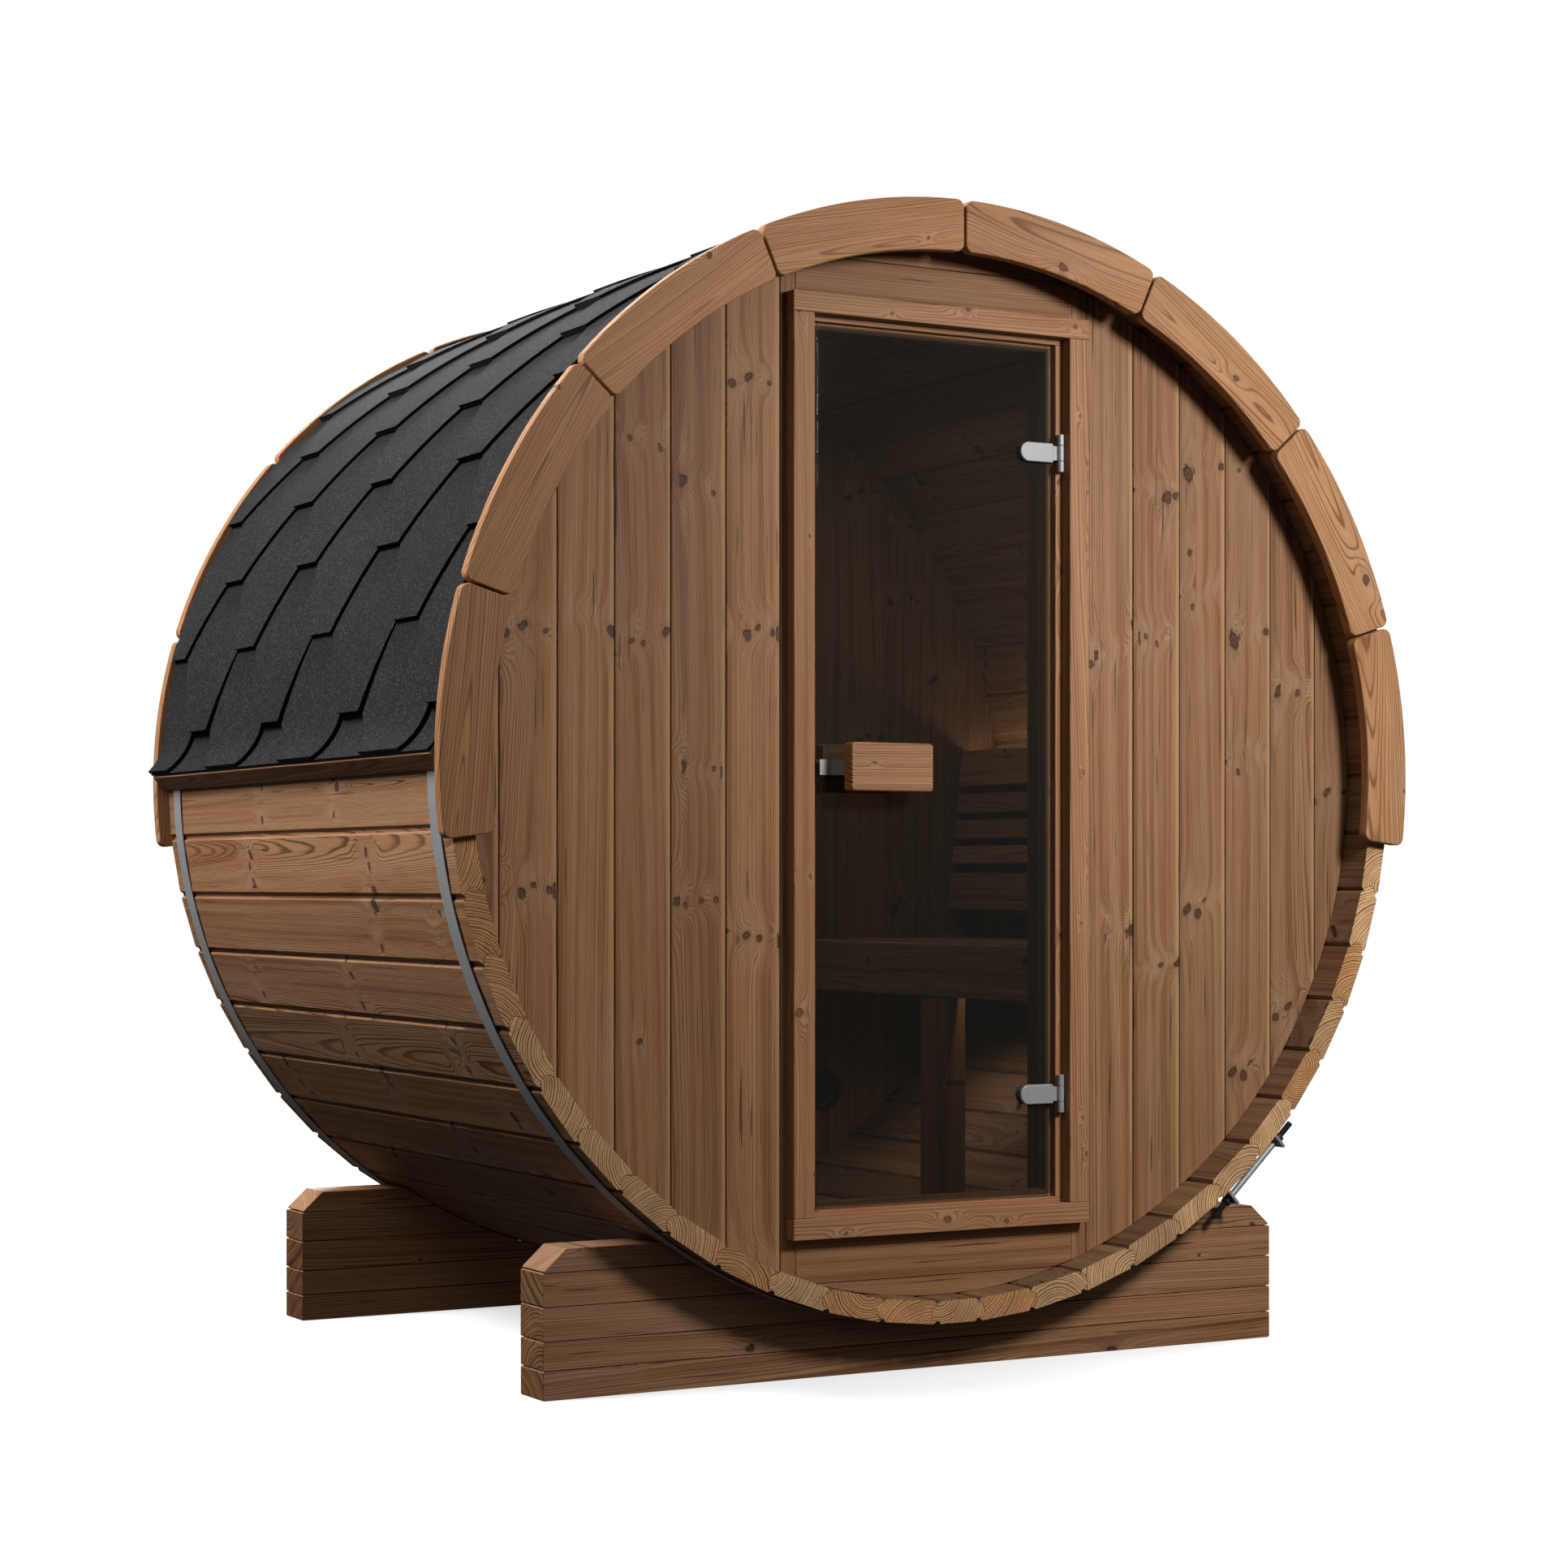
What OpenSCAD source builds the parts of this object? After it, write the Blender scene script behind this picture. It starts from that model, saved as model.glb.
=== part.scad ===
// Barrel sauna: bead-and-cove staves held by two steel hoops, flat end walls,
// framed glass door, hexagon-shingle roof, arched end trim, two stacked cradles.
// Millimetres. +Z up, front door faces -Y, origin on the ground under the middle.

/* [Barrel] */
// Outer radius of the stave ring, to the flat faces
barrel_r = 998; // [990:1:1004]
// Length of the staves
barrel_len = 1425; // [1300:5:2200]
// Number of staves round the ring
stave_n = 53; // [53]
// Thickness of a stave
stave_t = 42; // [38:1:44]
// Height of the barrel axis above the ground
axis_z = 1091; // [1088:1:1096]

/* [End walls] */
// Thickness of the wall boards
wall_t = 42; // [36:1:44]
// Depth of the front wall behind the front stave ends
front_inset = 71; // [66:1:76]
// Depth of the rear wall in front of the rear stave ends
rear_inset = 57; // [50:1:64]
// Cover width of a vertical wall board
board_w = 109; // [105:1:112]
// Radius of the round air vent in the rear wall
vent_r = 40; // [34:1:42]

/* [Door] */
// Half width of the clear opening between the jambs
open_hw = 260; // [255:1:262]
// Top of the opening above the barrel axis
open_top = 798; // [790:1:800]
// Bottom of the opening below the barrel axis
open_bot = 789; // [780:1:792]
// Glass thickness
glass_t = 8; // [6:1:8]
// Gap round the glass
glass_gap = 6; // [5:1:8]
// Width of the trim boards
trim_w = 43; // [38:1:46]

/* [Arch trim] */
// Outer radius of the arch trim
arch_ro = 1024; // [1018:1:1030]
// Inner radius of the arch trim
arch_ri = 930; // [920:1:940]
// Thickness of the arch trim boards
arch_t = 24; // [18:1:28]
// Angle covered by one arch board
arch_step = 24.4; // [24:0.1:24.6]

/* [Cradles] */
// Thickness of a cradle
cradle_t = 92; // [80:1:100]
// Half length of a cradle
cradle_hw = 781; // [770:1:800]
// Setback of a cradle from the stave ends
cradle_in = 95; // [90:1:110]

/* [Hidden] */

$fn = 180;
L = barrel_len;
Ro = barrel_r;
Ri = barrel_r - stave_t;
Rm = (Ro + Ri) / 2;
da = 6.745;                  // angle of one stave on the sides
ha = da / 2;
side_gap = 0.3;              // half of the joint between two staves
bead_r = 15.4;               // bead and cove radius
bead_in = 3.4;               // bead centre behind the joint face
seam_c = 6;                  // chamfer that makes the outer seam
wall_r = Ri - 0.8;           // end walls sit just inside the ring
wy = front_inset;            // front face of the front wall
ry = L - rear_inset - wall_t; // inner face of the rear wall
gy = wy;                     // front face of the glass
ghw = open_hw - glass_gap;   // half width of the glass
gt = open_top - glass_gap;
gb = open_bot - glass_gap;
trim_in = open_hw + 14;      // inner edge of the trim
trim_out = trim_in + trim_w;
trim_y = wy - 28;            // front face of the trim
trim_b0 = wy + wall_t + 0.4; // the trim repeats on the inside of the wall
trim_b1 = wy + wall_t + 28;
rail_top = open_top + 10;
rail_bot = open_bot + 10;
post_in = open_hw + 37;
post_out = post_in + 32;
roof_ri = Ro + 5;
roof_ro = roof_ri + 8;
hoop_ri = Ro + 2.2;
hoop_ro = hoop_ri + 2;
hoop_w = 40;
hoop_y = 40;                 // hoop edge behind the stave ends
tens_a = 43.2;               // hoop lug angle from the bottom
lug_d = 76;                  // half distance between the lugs
rod_r = 6;
rod_d = Ro + 42;             // rod line above the axis
hx = 265; hy = wy - 10;      // door hinge axis
hinge_z = [595, -597];
kn_r = 6.2;                  // hinge knuckle radius
pin_r = 3;
board_z = [0, 50, 100, 159, 218, 259];
bench_x = 400;               // front face of the bench apron
seat_z = -330;               // seat level below the barrel axis

module barrel() { translate([0, -L / 2, axis_z]) children(); }
// Draw a flat shape in X and Z and give it depth from y0 to y1
module deep(y0, y1) { translate([0, y1, 0]) rotate([90, 0, 0]) linear_extrude(y1 - y0) children(); }
module block(x0, x1, y0, y1, z0, z1) { translate([x0, y0, z0]) cube([x1 - x0, y1 - y0, z1 - z0]); }
module slab2(x0, x1, z0, z1) { translate([x0, z0]) square([x1 - x0, z1 - z0]); }

// One stave, drawn at the bottom of the ring and turned to its place.
// al and ah: half angles to its -X and +X joint faces. lo and hi: 1 bead, -1 cove.
module stave2(al, ah, lo, hi) {
    wl = tan(al); wh = tan(ah); g = side_gap; c = seam_c;
    difference() {
        union() {
            polygon([[-Ro * wl + g + c, -Ro], [Ro * wh - g - c, -Ro], [(Ro - c) * wh - g, -Ro + c],
                     [(Ri + 2) * wh - g, -Ri - 2], [Ri * wh - g - 2, -Ri], [-Ri * wl + g + 2, -Ri],
                     [-(Ri + 2) * wl + g, -Ri - 2], [-(Ro - c) * wl + g, -Ro + c]]);
            if (hi == 1) rotate(ah) translate([-bead_in, -Rm]) circle(bead_r, $fn = 48);
            if (lo == 1) rotate(-al) translate([bead_in, -Rm]) circle(bead_r, $fn = 48);
        }
        if (hi == -1) rotate(ah) translate([bead_in, -Rm]) circle(bead_r + 0.5, $fn = 48);
        if (lo == -1) rotate(-al) translate([-bead_in, -Rm]) circle(bead_r + 0.5, $fn = 48);
    }
}
kmax = (stave_n - 1) / 2;
// The bottom stave has a bead on both sides and is narrower by them; the staves under the roof are
// a little wider and close the ring
bead_a = 0.7;
k_side = 20;                 // last full-pitch stave on each side
da_top = (180 - (k_side + 0.5) * da + bead_a) / (kmax - k_side);
module stave(k) {
    n = abs(k);
    h = k == 0 ? ha - bead_a : (n > k_side ? da_top / 2 : ha);
    mid = n > k_side ? (k_side + 0.5) * da - bead_a + (n - k_side - 0.5) * da_top : n * da - bead_a;
    lo = k > 0 ? -1 : 1;
    hi = k < 0 ? -1 : (k == kmax ? -1 : 1);
    deep(0, L) rotate(sign(k) * mid) stave2(h, h, lo, hi);
}
module staves(k0, k1) { for (k = [k0 : k1]) barrel() stave(k); }

module staves_bottom() { color("#8a6440") staves(-5, 5); }
module staves_lower_left() { color("#93693f") staves(-13, -6); }
module staves_lower_right() { color("#93693f") staves(6, 13); }
module staves_upper_left() { color("#93693f") staves(-20, -14); }
module staves_upper_right() { color("#93693f") staves(14, 20); }
module staves_top() { color("#93693f") { staves(21, kmax); staves(-kmax, -21); } }

// A wall board, clipped to the round of the barrel
module wall_board(x0, x1, z0, z1, y0, y1) {
    deep(y0, y1) intersection() { circle(wall_r); slab2(x0, x1, z0, z1); }
}
module wall_side(s) {
    for (k = [0 : 5]) {
        a = post_out + k * board_w + 0.5;
        b = k == 5 ? wall_r + 10 : post_out + (k + 1) * board_w - 0.5;
        if (a < wall_r) barrel() wall_board(s > 0 ? a : -b, s > 0 ? b : -a, -1000, 1000, wy, wy + wall_t);
    }
}
module front_wall_left() { color("#8d6744") wall_side(-1); }
module front_wall_right() { color("#8d6744") wall_side(1); }
module door_posts() {
    color("#7d5a3a") for (s = [-1, 1])
        barrel() wall_board(s > 0 ? post_in : -post_out, s > 0 ? post_out : -post_in, -1000, 1000, wy, wy + wall_t);
}
head_z = open_top + 36;
foot_z = open_bot + 36;
module header_boards() {
    color("#7d5a3a") {
        barrel() wall_board(-post_in + 0.4, post_in - 0.4, head_z + 0.5, head_z + 80.5, wy, wy + wall_t);
        barrel() wall_board(-post_in + 0.4, post_in - 0.4, head_z + 81.5, 1000, wy, wy + wall_t);
    }
}
module sill_boards() {
    color("#7d5a3a") {
        barrel() wall_board(-post_in + 0.4, post_in - 0.4, -foot_z - 94.5, -foot_z - 0.5, wy, wy + wall_t);
        barrel() wall_board(-post_in + 0.4, post_in - 0.4, -1000, -foot_z - 95.5, wy, wy + wall_t);
    }
}
stop_y = gy + glass_t + 6;   // face of the stop behind the glass
stop_w = 13;
module door_jambs() {
    color("#a9774c") for (s = [-1, 1]) barrel() mirror([s < 0 ? 1 : 0, 0, 0]) union() {
        block(open_hw, post_in - 0.4, wy, wy + wall_t, -open_bot + 0.4, open_top - 0.4);
        block(open_hw - stop_w, open_hw + 1, stop_y, wy + wall_t, -open_bot + 0.4, open_top - 0.4);
    }
}
module door_jamb_head() {
    color("#a9774c") barrel() union() {
        block(-post_in + 0.4, post_in - 0.4, wy, wy + wall_t, open_top, head_z);
        block(-open_hw + stop_w + 0.4, open_hw - stop_w - 0.4, stop_y, wy + wall_t, open_top - stop_w, open_top + 1);
    }
}
module door_threshold() {
    color("#a9774c") barrel() union() {
        block(-post_in + 0.4, post_in - 0.4, wy, wy + wall_t, -foot_z, -open_bot);
        block(-open_hw + stop_w + 0.4, open_hw - stop_w - 0.4, stop_y, wy + wall_t, -open_bot - 1, -open_bot + stop_w);
    }
}
module trim_stiles() {
    color("#b07f52") for (s = [-1, 1]) for (y = [[trim_y, wy - 0.4], [trim_b0, trim_b1]])
        barrel() mirror([s < 0 ? 1 : 0, 0, 0])
            block(trim_in, trim_out, y[0], y[1], -rail_bot + 0.4, rail_top - 0.4);
}
module trim_rails() {
    color("#b07f52") for (y = [[trim_y, wy - 0.4], [trim_b0, trim_b1]]) {
        barrel() block(-trim_out, trim_out, y[0], y[1], rail_top, rail_top + 37);
        barrel() block(-trim_out, trim_out, y[0], y[1], -rail_bot - 39, -rail_bot);
    }
}

// Rear wall boards; the vent goes through one of them
vent_x = 490; vent_z = -669;
module rear_wall() {
    n = floor(wall_r / board_w);
    color("#8d6744") for (k = [-n - 1 : n]) {
        a = max(k * board_w + 0.5, -wall_r - 10); b = min((k + 1) * board_w - 0.5, wall_r + 10);
        barrel() deep(ry, ry + wall_t) difference() {
            intersection() { circle(wall_r); slab2(a, b, -1000, 1000); }
            if (a < vent_x && b > vent_x) translate([vent_x, vent_z]) circle(vent_r, $fn = 64);
        }
    }
}
module rear_vent() {
    color("#2b2724") barrel() translate([vent_x, 0, vent_z]) union() {
        deep(ry - 4, ry + wall_t + 4) difference() { circle(vent_r - 0.5, $fn = 64); circle(vent_r - 4, $fn = 64); }
        for (y = [ry - 4.3, ry + wall_t + 0.3]) deep(y, y + 4) difference() {
            circle(vent_r + 7, $fn = 64); circle(vent_r - 4, $fn = 64);
        }
        for (i = [-2 : 2]) deep(ry + wall_t - 6, ry + wall_t + 3) intersection() {
            circle(vent_r - 2, $fn = 64); slab2(-60, 60, i * 13 - 2, i * 13 + 2);
        }
    }
}

// One arch board: a ring sector from angle a0 to a1, clockwise from the top, with round corners
arch_c = 15;                 // corner radius
function polar(r, a) = [r * sin(a), r * cos(a)];
// Points of a quarter-round corner about the point at radius r and angle a, turning from direction d0
function corner(r, a, d0) = [for (i = [0 : 5]) let (d = d0 + i * 18) polar(r, a) + polar(arch_c, d)];
function arch_pts(a0, a1) = let (
        ro = arch_ro - arch_c, ri = arch_ri + arch_c,
        eo = asin(arch_c / ro), ei = asin(arch_c / ri), n = 12)
    concat(
        [for (i = [1 : n - 1]) polar(arch_ro, a0 + eo + (a1 - a0 - 2 * eo) * i / n)],
        corner(ro, a1 - eo, a1 - eo),
        corner(ri, a1 - ei, a1 - ei + 90),
        [for (i = [1 : n - 1]) polar(arch_ri, a1 - ei - (a1 - a0 - 2 * ei) * i / n)],
        corner(ri, a0 + ei, a0 + ei + 180),
        corner(ro, a0 + eo, a0 + eo + 270));
module arch2(a0, a1) { polygon(arch_pts(a0, a1)); }
module arch(y0) {
    for (k = [-4 : 3]) barrel() deep(y0, y0 + arch_t - 0.4) arch2(k * arch_step + 0.13, (k + 1) * arch_step - 0.13);
}
module front_arch() { color("#b8834f") arch(-arch_t); }
module rear_arch() { color("#b8834f") arch(L + 0.4); }

// Roof covering: a thin shell over the upper half that kicks out over the eave batten
eave_z = 46;
module roof2() {
    xi = sqrt(roof_ri * roof_ri - eave_z * eave_z); xo = sqrt(roof_ro * roof_ro - eave_z * eave_z);
    intersection() {
        difference() { circle(roof_ro); circle(roof_ri); }
        slab2(0.5, 1100, eave_z + 6, 1100);
    }
    polygon([[xi + 0.6, eave_z + 5.6], [xo - 0.4, eave_z + 5.6], [xo + 32, 11], [xo + 26, 7], [xi + 0.6, eave_z - 0.6]]);
}
module roof_right() { color("#3b3c40") barrel() deep(0.5, L - 0.5) roof2(); }
module roof_left() { color("#3b3c40") barrel() mirror([1, 0, 0]) deep(0.5, L - 0.5) roof2(); }
module eave_battens() {
    bx = hoop_ro + 1.2;
    color("#4a2f1d") for (s = [-1, 1]) barrel() mirror([s < 0 ? 1 : 0, 0, 0])
        deep(1, L - 1) polygon([[bx, -18], [bx + 28, 8], [bx + 28, 11], [bx + 1, 43], [bx, 43]]);
}

// Steel hoop: an open band with two lugs, drawn with its gap at the bottom and turned to its place
module hoop(y0) {
    g = asin(lug_d / hoop_ri);
    color("#8f9296") barrel() difference() {
        union() {
            deep(y0, y0 + hoop_w) difference() {
                circle(hoop_ro);
                circle(hoop_ri);
                rotate(tens_a) polygon([[0, 0], [1500 * sin(-g), -1500 * cos(g)], [1500 * sin(g), -1500 * cos(g)]]);
            }
            for (s = [-1, 1]) deep(y0 + 2, y0 + hoop_w - 2) rotate(tens_a)
                translate([s * lug_d - 3, -Ro - 56]) square([6, 56.5 - (Ro - sqrt(Ro * Ro - lug_d * lug_d)) + 2.6]);
        }
        translate([0, y0 + hoop_w / 2, 0]) rotate([0, -tens_a, 0])
            translate([-200, 0, -rod_d]) rotate([0, 90, 0]) cylinder(r = rod_r + 0.4, h = 400, $fn = 32);
    }
}
module front_hoop() { hoop(hoop_y); }
module rear_hoop() { hoop(L - hoop_y - hoop_w); }
module tension_rods() {
    color("#2d2e30") for (y = [hoop_y + hoop_w / 2, L - hoop_y - hoop_w / 2])
        barrel() translate([0, y, 0]) rotate([0, -tens_a, 0]) translate([0, 0, -rod_d]) rotate([0, 90, 0]) union() {
            translate([0, 0, -126]) cylinder(r = rod_r, h = 252, $fn = 32);
            for (z = [-lug_d - 3.3 - 11, lug_d + 3.3]) translate([0, 0, z]) cylinder(r = 11, h = 11, $fn = 6);
        }
}

// Cradle: stacked boards with the seat of the barrel cut out of them
module cradle(y0) {
    c = 44; top = board_z[5];
    color("#7f5a38") for (i = [0 : 4]) translate([0, -L / 2, 0]) deep(y0, y0 + cradle_t) difference() {
        if (i < 4) slab2(-cradle_hw, cradle_hw, board_z[i] + (i > 0 ? 0.5 : 0), board_z[i + 1]);
        else polygon([[-cradle_hw, board_z[4] + 0.5], [cradle_hw, board_z[4] + 0.5], [cradle_hw - c, top], [-cradle_hw + c, top]]);
        translate([0, axis_z]) circle(Ro + 2.4);
    }
}
module front_cradle() { cradle(cradle_in); }
module rear_cradle() { cradle(L - cradle_in - cradle_t); }

// Bench on the right-hand side, running from wall to wall
by0 = wy + wall_t + 2; by1 = ry - 2; bym = (by0 + by1) / 2;
module bench_seat() {
    color("#8d6744") for (i = [0 : 3]) barrel()
        block(bench_x + 32 + i * 112, bench_x + 32 + i * 112 + (i == 3 ? 92 : 98), by0, by1, seat_z - 28, seat_z);
}
module bench_apron() { color("#8d6744") barrel() block(bench_x, bench_x + 28, by0, by1, seat_z - 110, seat_z); }
module bench_frame() {
    color("#7f5a38") {
        for (y = [by0 + 3, by1 - 48]) barrel() intersection() {
            block(bench_x + 29, 900, y, y + 45, seat_z - 110, seat_z - 29);
            deep(0, L) circle(wall_r);
        }
        barrel() intersection() {
            union() {
                block(bench_x + 29, 900, bym - 22, bym + 22, seat_z - 110, seat_z - 29);
                block(bench_x + 2, bench_x + 44, bym - 54, bym + 54, -900, seat_z - 111);
                block(bench_x + 30, bench_x + 44, bym - 22, bym + 22, seat_z - 130, seat_z - 100);
            }
            deep(0, L) circle(wall_r);
        }
    }
}
// Backrest slats lean with the curve of the wall
slat_z = [[17, 101], [-45, 0], [-103, -60], [-161, -120], [-266, -182]];
module lean() { translate([816, 0, -266]) rotate([0, 6, 0]) translate([0, 0, 266]) children(); }
module backrest_slats() {
    color("#8d6744") for (s = slat_z) barrel() lean() block(0, 20, by0 + 6, by1 - 6, s[0], s[1]);
}
module backrest_battens() {
    color("#7f5a38") for (y = [by0 + 70, bym - 22, by1 - 114]) barrel() intersection() {
        lean() block(20.6, 90, y, y + 44, -262, 60);
        deep(0, L) circle(wall_r);
    }
}
module led_strips() {
    color("#e8b878") {
        barrel() translate([894, 0, 72]) block(0, 8, by0 + 10, by1 - 10, 0, 10);
        barrel() block(bench_x + 30, bench_x + 38, by0 + 60, bym - 60, seat_z - 60, seat_z - 50);
    }
}

// Fixed hinge parts: two end knuckles on one pin, each on a tab screwed to the jamb
module hinge_frame_leaves() {
    color("#c3c5c8") for (z = hinge_z) barrel() translate([hx, hy, z]) union() {
        translate([0, 0, -35]) cylinder(r = pin_r, h = 70, $fn = 32);
        for (h = [[-35, -14.8], [14.8, 35]]) {
            translate([0, 0, h[0]]) cylinder(r = kn_r, h = h[1] - h[0], $fn = 32);
            block(-4, 6, 2, wy - hy - 0.3, h[0], h[1]);
        }
    }
}

// Door
module door_glass() { color("#2a2320", 0.7) barrel() block(-ghw, ghw, gy, gy + glass_t, -gb, gt); }
grip_x0 = -218; grip_x1 = -48; grip_y = gy - 63;
module grip2() {
    r = 8; x0 = grip_x0; x1 = grip_x1; z0 = -41; z1 = 46;
    union() {
        slab2(x0 + r, x1 - r, z0, z1); slab2(x0, x1, z0 + r, z1 - r);
        for (x = [x0 + r, x1 - r]) for (z = [z0 + r, z1 - r]) translate([x, z]) circle(r, $fn = 32);
    }
}
grip_back = gy + glass_t + 33;
module door_handle() {
    color("#b07f52") {
        barrel() deep(grip_y, grip_y + 30) grip2();
        barrel() deep(grip_back, grip_back + 30) grip2();
    }
}
// Bent strap from the glass to the grip; drawn in plan as its centre line with thickness
module strap() {
    a = gy - 0.3; b = grip_y + 30.3;
    translate([0, 0, -12]) linear_extrude(28) polygon([
        [-250, a], [-250, a - 3], [-226, a - 3], [-219, a - 8], [-213, b + 9], [-206, b], [-130, b],
        [-130, b + 3], [-204, b + 3], [-210, b + 10], [-216, a - 6], [-224, a]]);
}
module handle_straps() {
    color("#b9bcc0") {
        barrel() strap();
        barrel() translate([0, 2 * gy + glass_t, 0]) mirror([0, 1, 0]) strap();
    }
}
module dplate2(x1) { union() { slab2(196, x1, -18, 18); translate([196, 0]) circle(18, $fn = 48); } }
module hinge_door_leaves() {
    color("#c3c5c8") for (z = hinge_z) {
        barrel() translate([0, 0, z]) difference() {
            union() {
                deep(gy - 8, gy - 0.3) dplate2(250);
                block(248, hx - 1, gy - 8, gy - 2.4, -13.5, 13.5);
                translate([hx, hy, -14.2]) cylinder(r = kn_r, h = 28.4, $fn = 32);
            }
            translate([hx, hy, -20]) cylinder(r = pin_r + 0.06, h = 40, $fn = 32);
        }
        barrel() translate([0, 0, z]) deep(gy + glass_t + 0.3, gy + glass_t + 5) dplate2(241);
    }
}

staves_bottom();
staves_lower_left();
staves_lower_right();
staves_upper_left();
staves_upper_right();
staves_top();
front_wall_left();
front_wall_right();
door_posts();
header_boards();
sill_boards();
door_jambs();
door_jamb_head();
door_threshold();
trim_stiles();
trim_rails();
rear_wall();
rear_vent();
front_arch();
rear_arch();
roof_left();
roof_right();
eave_battens();
front_hoop();
rear_hoop();
tension_rods();
front_cradle();
rear_cradle();
bench_seat();
bench_apron();
bench_frame();
backrest_slats();
backrest_battens();
led_strips();
hinge_frame_leaves();
door_glass();
door_handle();
handle_straps();
hinge_door_leaves();
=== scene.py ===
import math
import random

import bmesh
import bpy
import numpy as np
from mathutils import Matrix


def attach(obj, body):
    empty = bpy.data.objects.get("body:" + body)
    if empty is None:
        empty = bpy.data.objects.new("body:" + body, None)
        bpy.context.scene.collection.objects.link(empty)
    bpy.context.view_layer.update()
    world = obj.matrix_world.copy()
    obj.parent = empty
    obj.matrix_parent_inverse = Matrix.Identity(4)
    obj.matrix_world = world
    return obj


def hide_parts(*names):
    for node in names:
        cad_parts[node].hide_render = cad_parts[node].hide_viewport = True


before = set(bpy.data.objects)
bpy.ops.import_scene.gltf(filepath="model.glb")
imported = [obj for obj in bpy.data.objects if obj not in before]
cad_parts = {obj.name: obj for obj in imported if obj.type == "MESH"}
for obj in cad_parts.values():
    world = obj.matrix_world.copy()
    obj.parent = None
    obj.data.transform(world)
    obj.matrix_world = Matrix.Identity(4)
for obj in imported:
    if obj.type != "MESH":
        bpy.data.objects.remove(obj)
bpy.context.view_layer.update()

# ---------------------------------------------------------------------------
# Dimensions (mm). Barrel frame: x to the right, y from the front stave ends
# to the rear, z up from the barrel axis.
# ---------------------------------------------------------------------------
L = 1425.0
AXIS = 1091.0
RO, RI = 998.0, 956.0
RM = (RO + RI) / 2
WALL_R = RI - 0.8
WY0, WY1 = 71.0, 113.0
RY0, RY1 = 1326.0, 1368.0
BY0, BY1 = 115.0, 1324.0
BYM = (BY0 + BY1) / 2


def row(p):
    """Barrel frame in mm to the shared frame in metres."""
    q = np.asarray(p, float).copy()
    q[..., 1] -= L / 2
    q[..., 2] += AXIS
    return q * 0.001


# ---------------------------------------------------------------------------
# Mesh building
# ---------------------------------------------------------------------------
class Part:
    """Collects closed pieces of one kind and turns them into one object."""

    def __init__(self):
        self.v, self.f, self.m = [], [], []
        self.bp, self.bq, self.bt, self.be = [], [], [], []
        self.n = 0

    def add(self, verts, faces, mats, bp=None, bq=None, bt=None, be=None):
        verts = np.asarray(verts, float)
        k = len(verts)
        self.v.append(verts)
        n = self.n
        self.f.extend([[i + n for i in f] for f in faces])
        self.m.extend(mats)
        self.bp.append(np.zeros((k, 3)) if bp is None else bp)
        self.bq.append(np.zeros((k, 3)) if bq is None else bq)
        self.bt.append(np.full((k, 3), 0.5) if bt is None else bt)
        self.be.append(np.full((k, 3), 0.05) if be is None else be)
        self.n += k

    def build(self, name, mats, body, slot, nodes=(), sharp=38):
        me = bpy.data.meshes.new(name)
        me.from_pydata(row(np.concatenate(self.v)).tolist(), [], self.f)
        me.polygons.foreach_set("material_index", np.array(self.m, dtype=np.int32))
        for key, parts in (("bp", self.bp), ("bq", self.bq), ("bt", self.bt), ("be", self.be)):
            a = me.attributes.new(key, "FLOAT_VECTOR", "POINT")
            a.data.foreach_set("vector", np.concatenate(parts).astype(np.float32).ravel())
        bm = bmesh.new()
        bm.from_mesh(me)
        bmesh.ops.recalc_face_normals(bm, faces=bm.faces)
        bm.to_mesh(me)
        bm.free()
        me.polygons.foreach_set("use_smooth", np.ones(len(me.polygons), dtype=bool))
        me.set_sharp_from_angle(angle=math.radians(sharp))
        for m in mats:
            me.materials.append(m)
        ob = bpy.data.objects.new(name, me)
        bpy.context.scene.collection.objects.link(ob)
        mod = ob.modifiers.new("even_flats", "WEIGHTED_NORMAL")
        mod.mode = "FACE_AREA"
        mod.weight = 50
        mod.keep_sharp = True
        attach(ob, body)
        if nodes:
            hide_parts(*nodes)
        return ob


def ccw(poly):
    p = np.asarray(poly, float)
    x, y = p[:, 0], p[:, 1]
    area = np.sum(x * np.roll(y, -1) - np.roll(x, -1) * y)
    return p if area > 0 else p[::-1].copy()


def tidy(poly, eps=0.02):
    p = np.asarray(poly, float)
    keep = np.hypot(*(p - np.roll(p, 1, 0)).T) > eps
    return p[keep]


def fillet(poly, r, n=3):
    """Round the corners of a polygon. r is one radius or one for each corner."""
    p = np.asarray(poly, float)
    k = len(p)
    rr = np.full(k, r, float) if np.isscalar(r) else np.asarray(r, float)
    out = []
    for i in range(k):
        c, a, b = p[i], p[i - 1], p[(i + 1) % k]
        da, db = a - c, b - c
        la, lb = np.hypot(*da), np.hypot(*db)
        da, db = da / la, db / lb
        th = math.acos(max(-1.0, min(1.0, float(da @ db))))
        if rr[i] <= 0 or th > math.radians(168):
            out.append(c)
            continue
        t = min(rr[i] / math.tan(th / 2), 0.48 * la, 0.48 * lb)
        s, e = c + da * t, c + db * t
        for j in range(n + 1):
            q = j / n
            out.append((1 - q) ** 2 * s + 2 * q * (1 - q) * c + q * q * e)
    return np.array(out)


def mitres(p):
    """For each corner of a counter-clockwise polygon, the move that sets both its edges in by 1."""
    e = np.roll(p, -1, 0) - p
    e /= np.maximum(np.hypot(*e.T), 1e-9)[:, None]
    nrm = np.stack([-e[:, 1], e[:, 0]], 1)
    prv = np.roll(nrm, 1, 0)
    den = np.maximum(1 + np.sum(prv * nrm, 1), 0.35)
    return (prv + nrm) / den[:, None]


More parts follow.
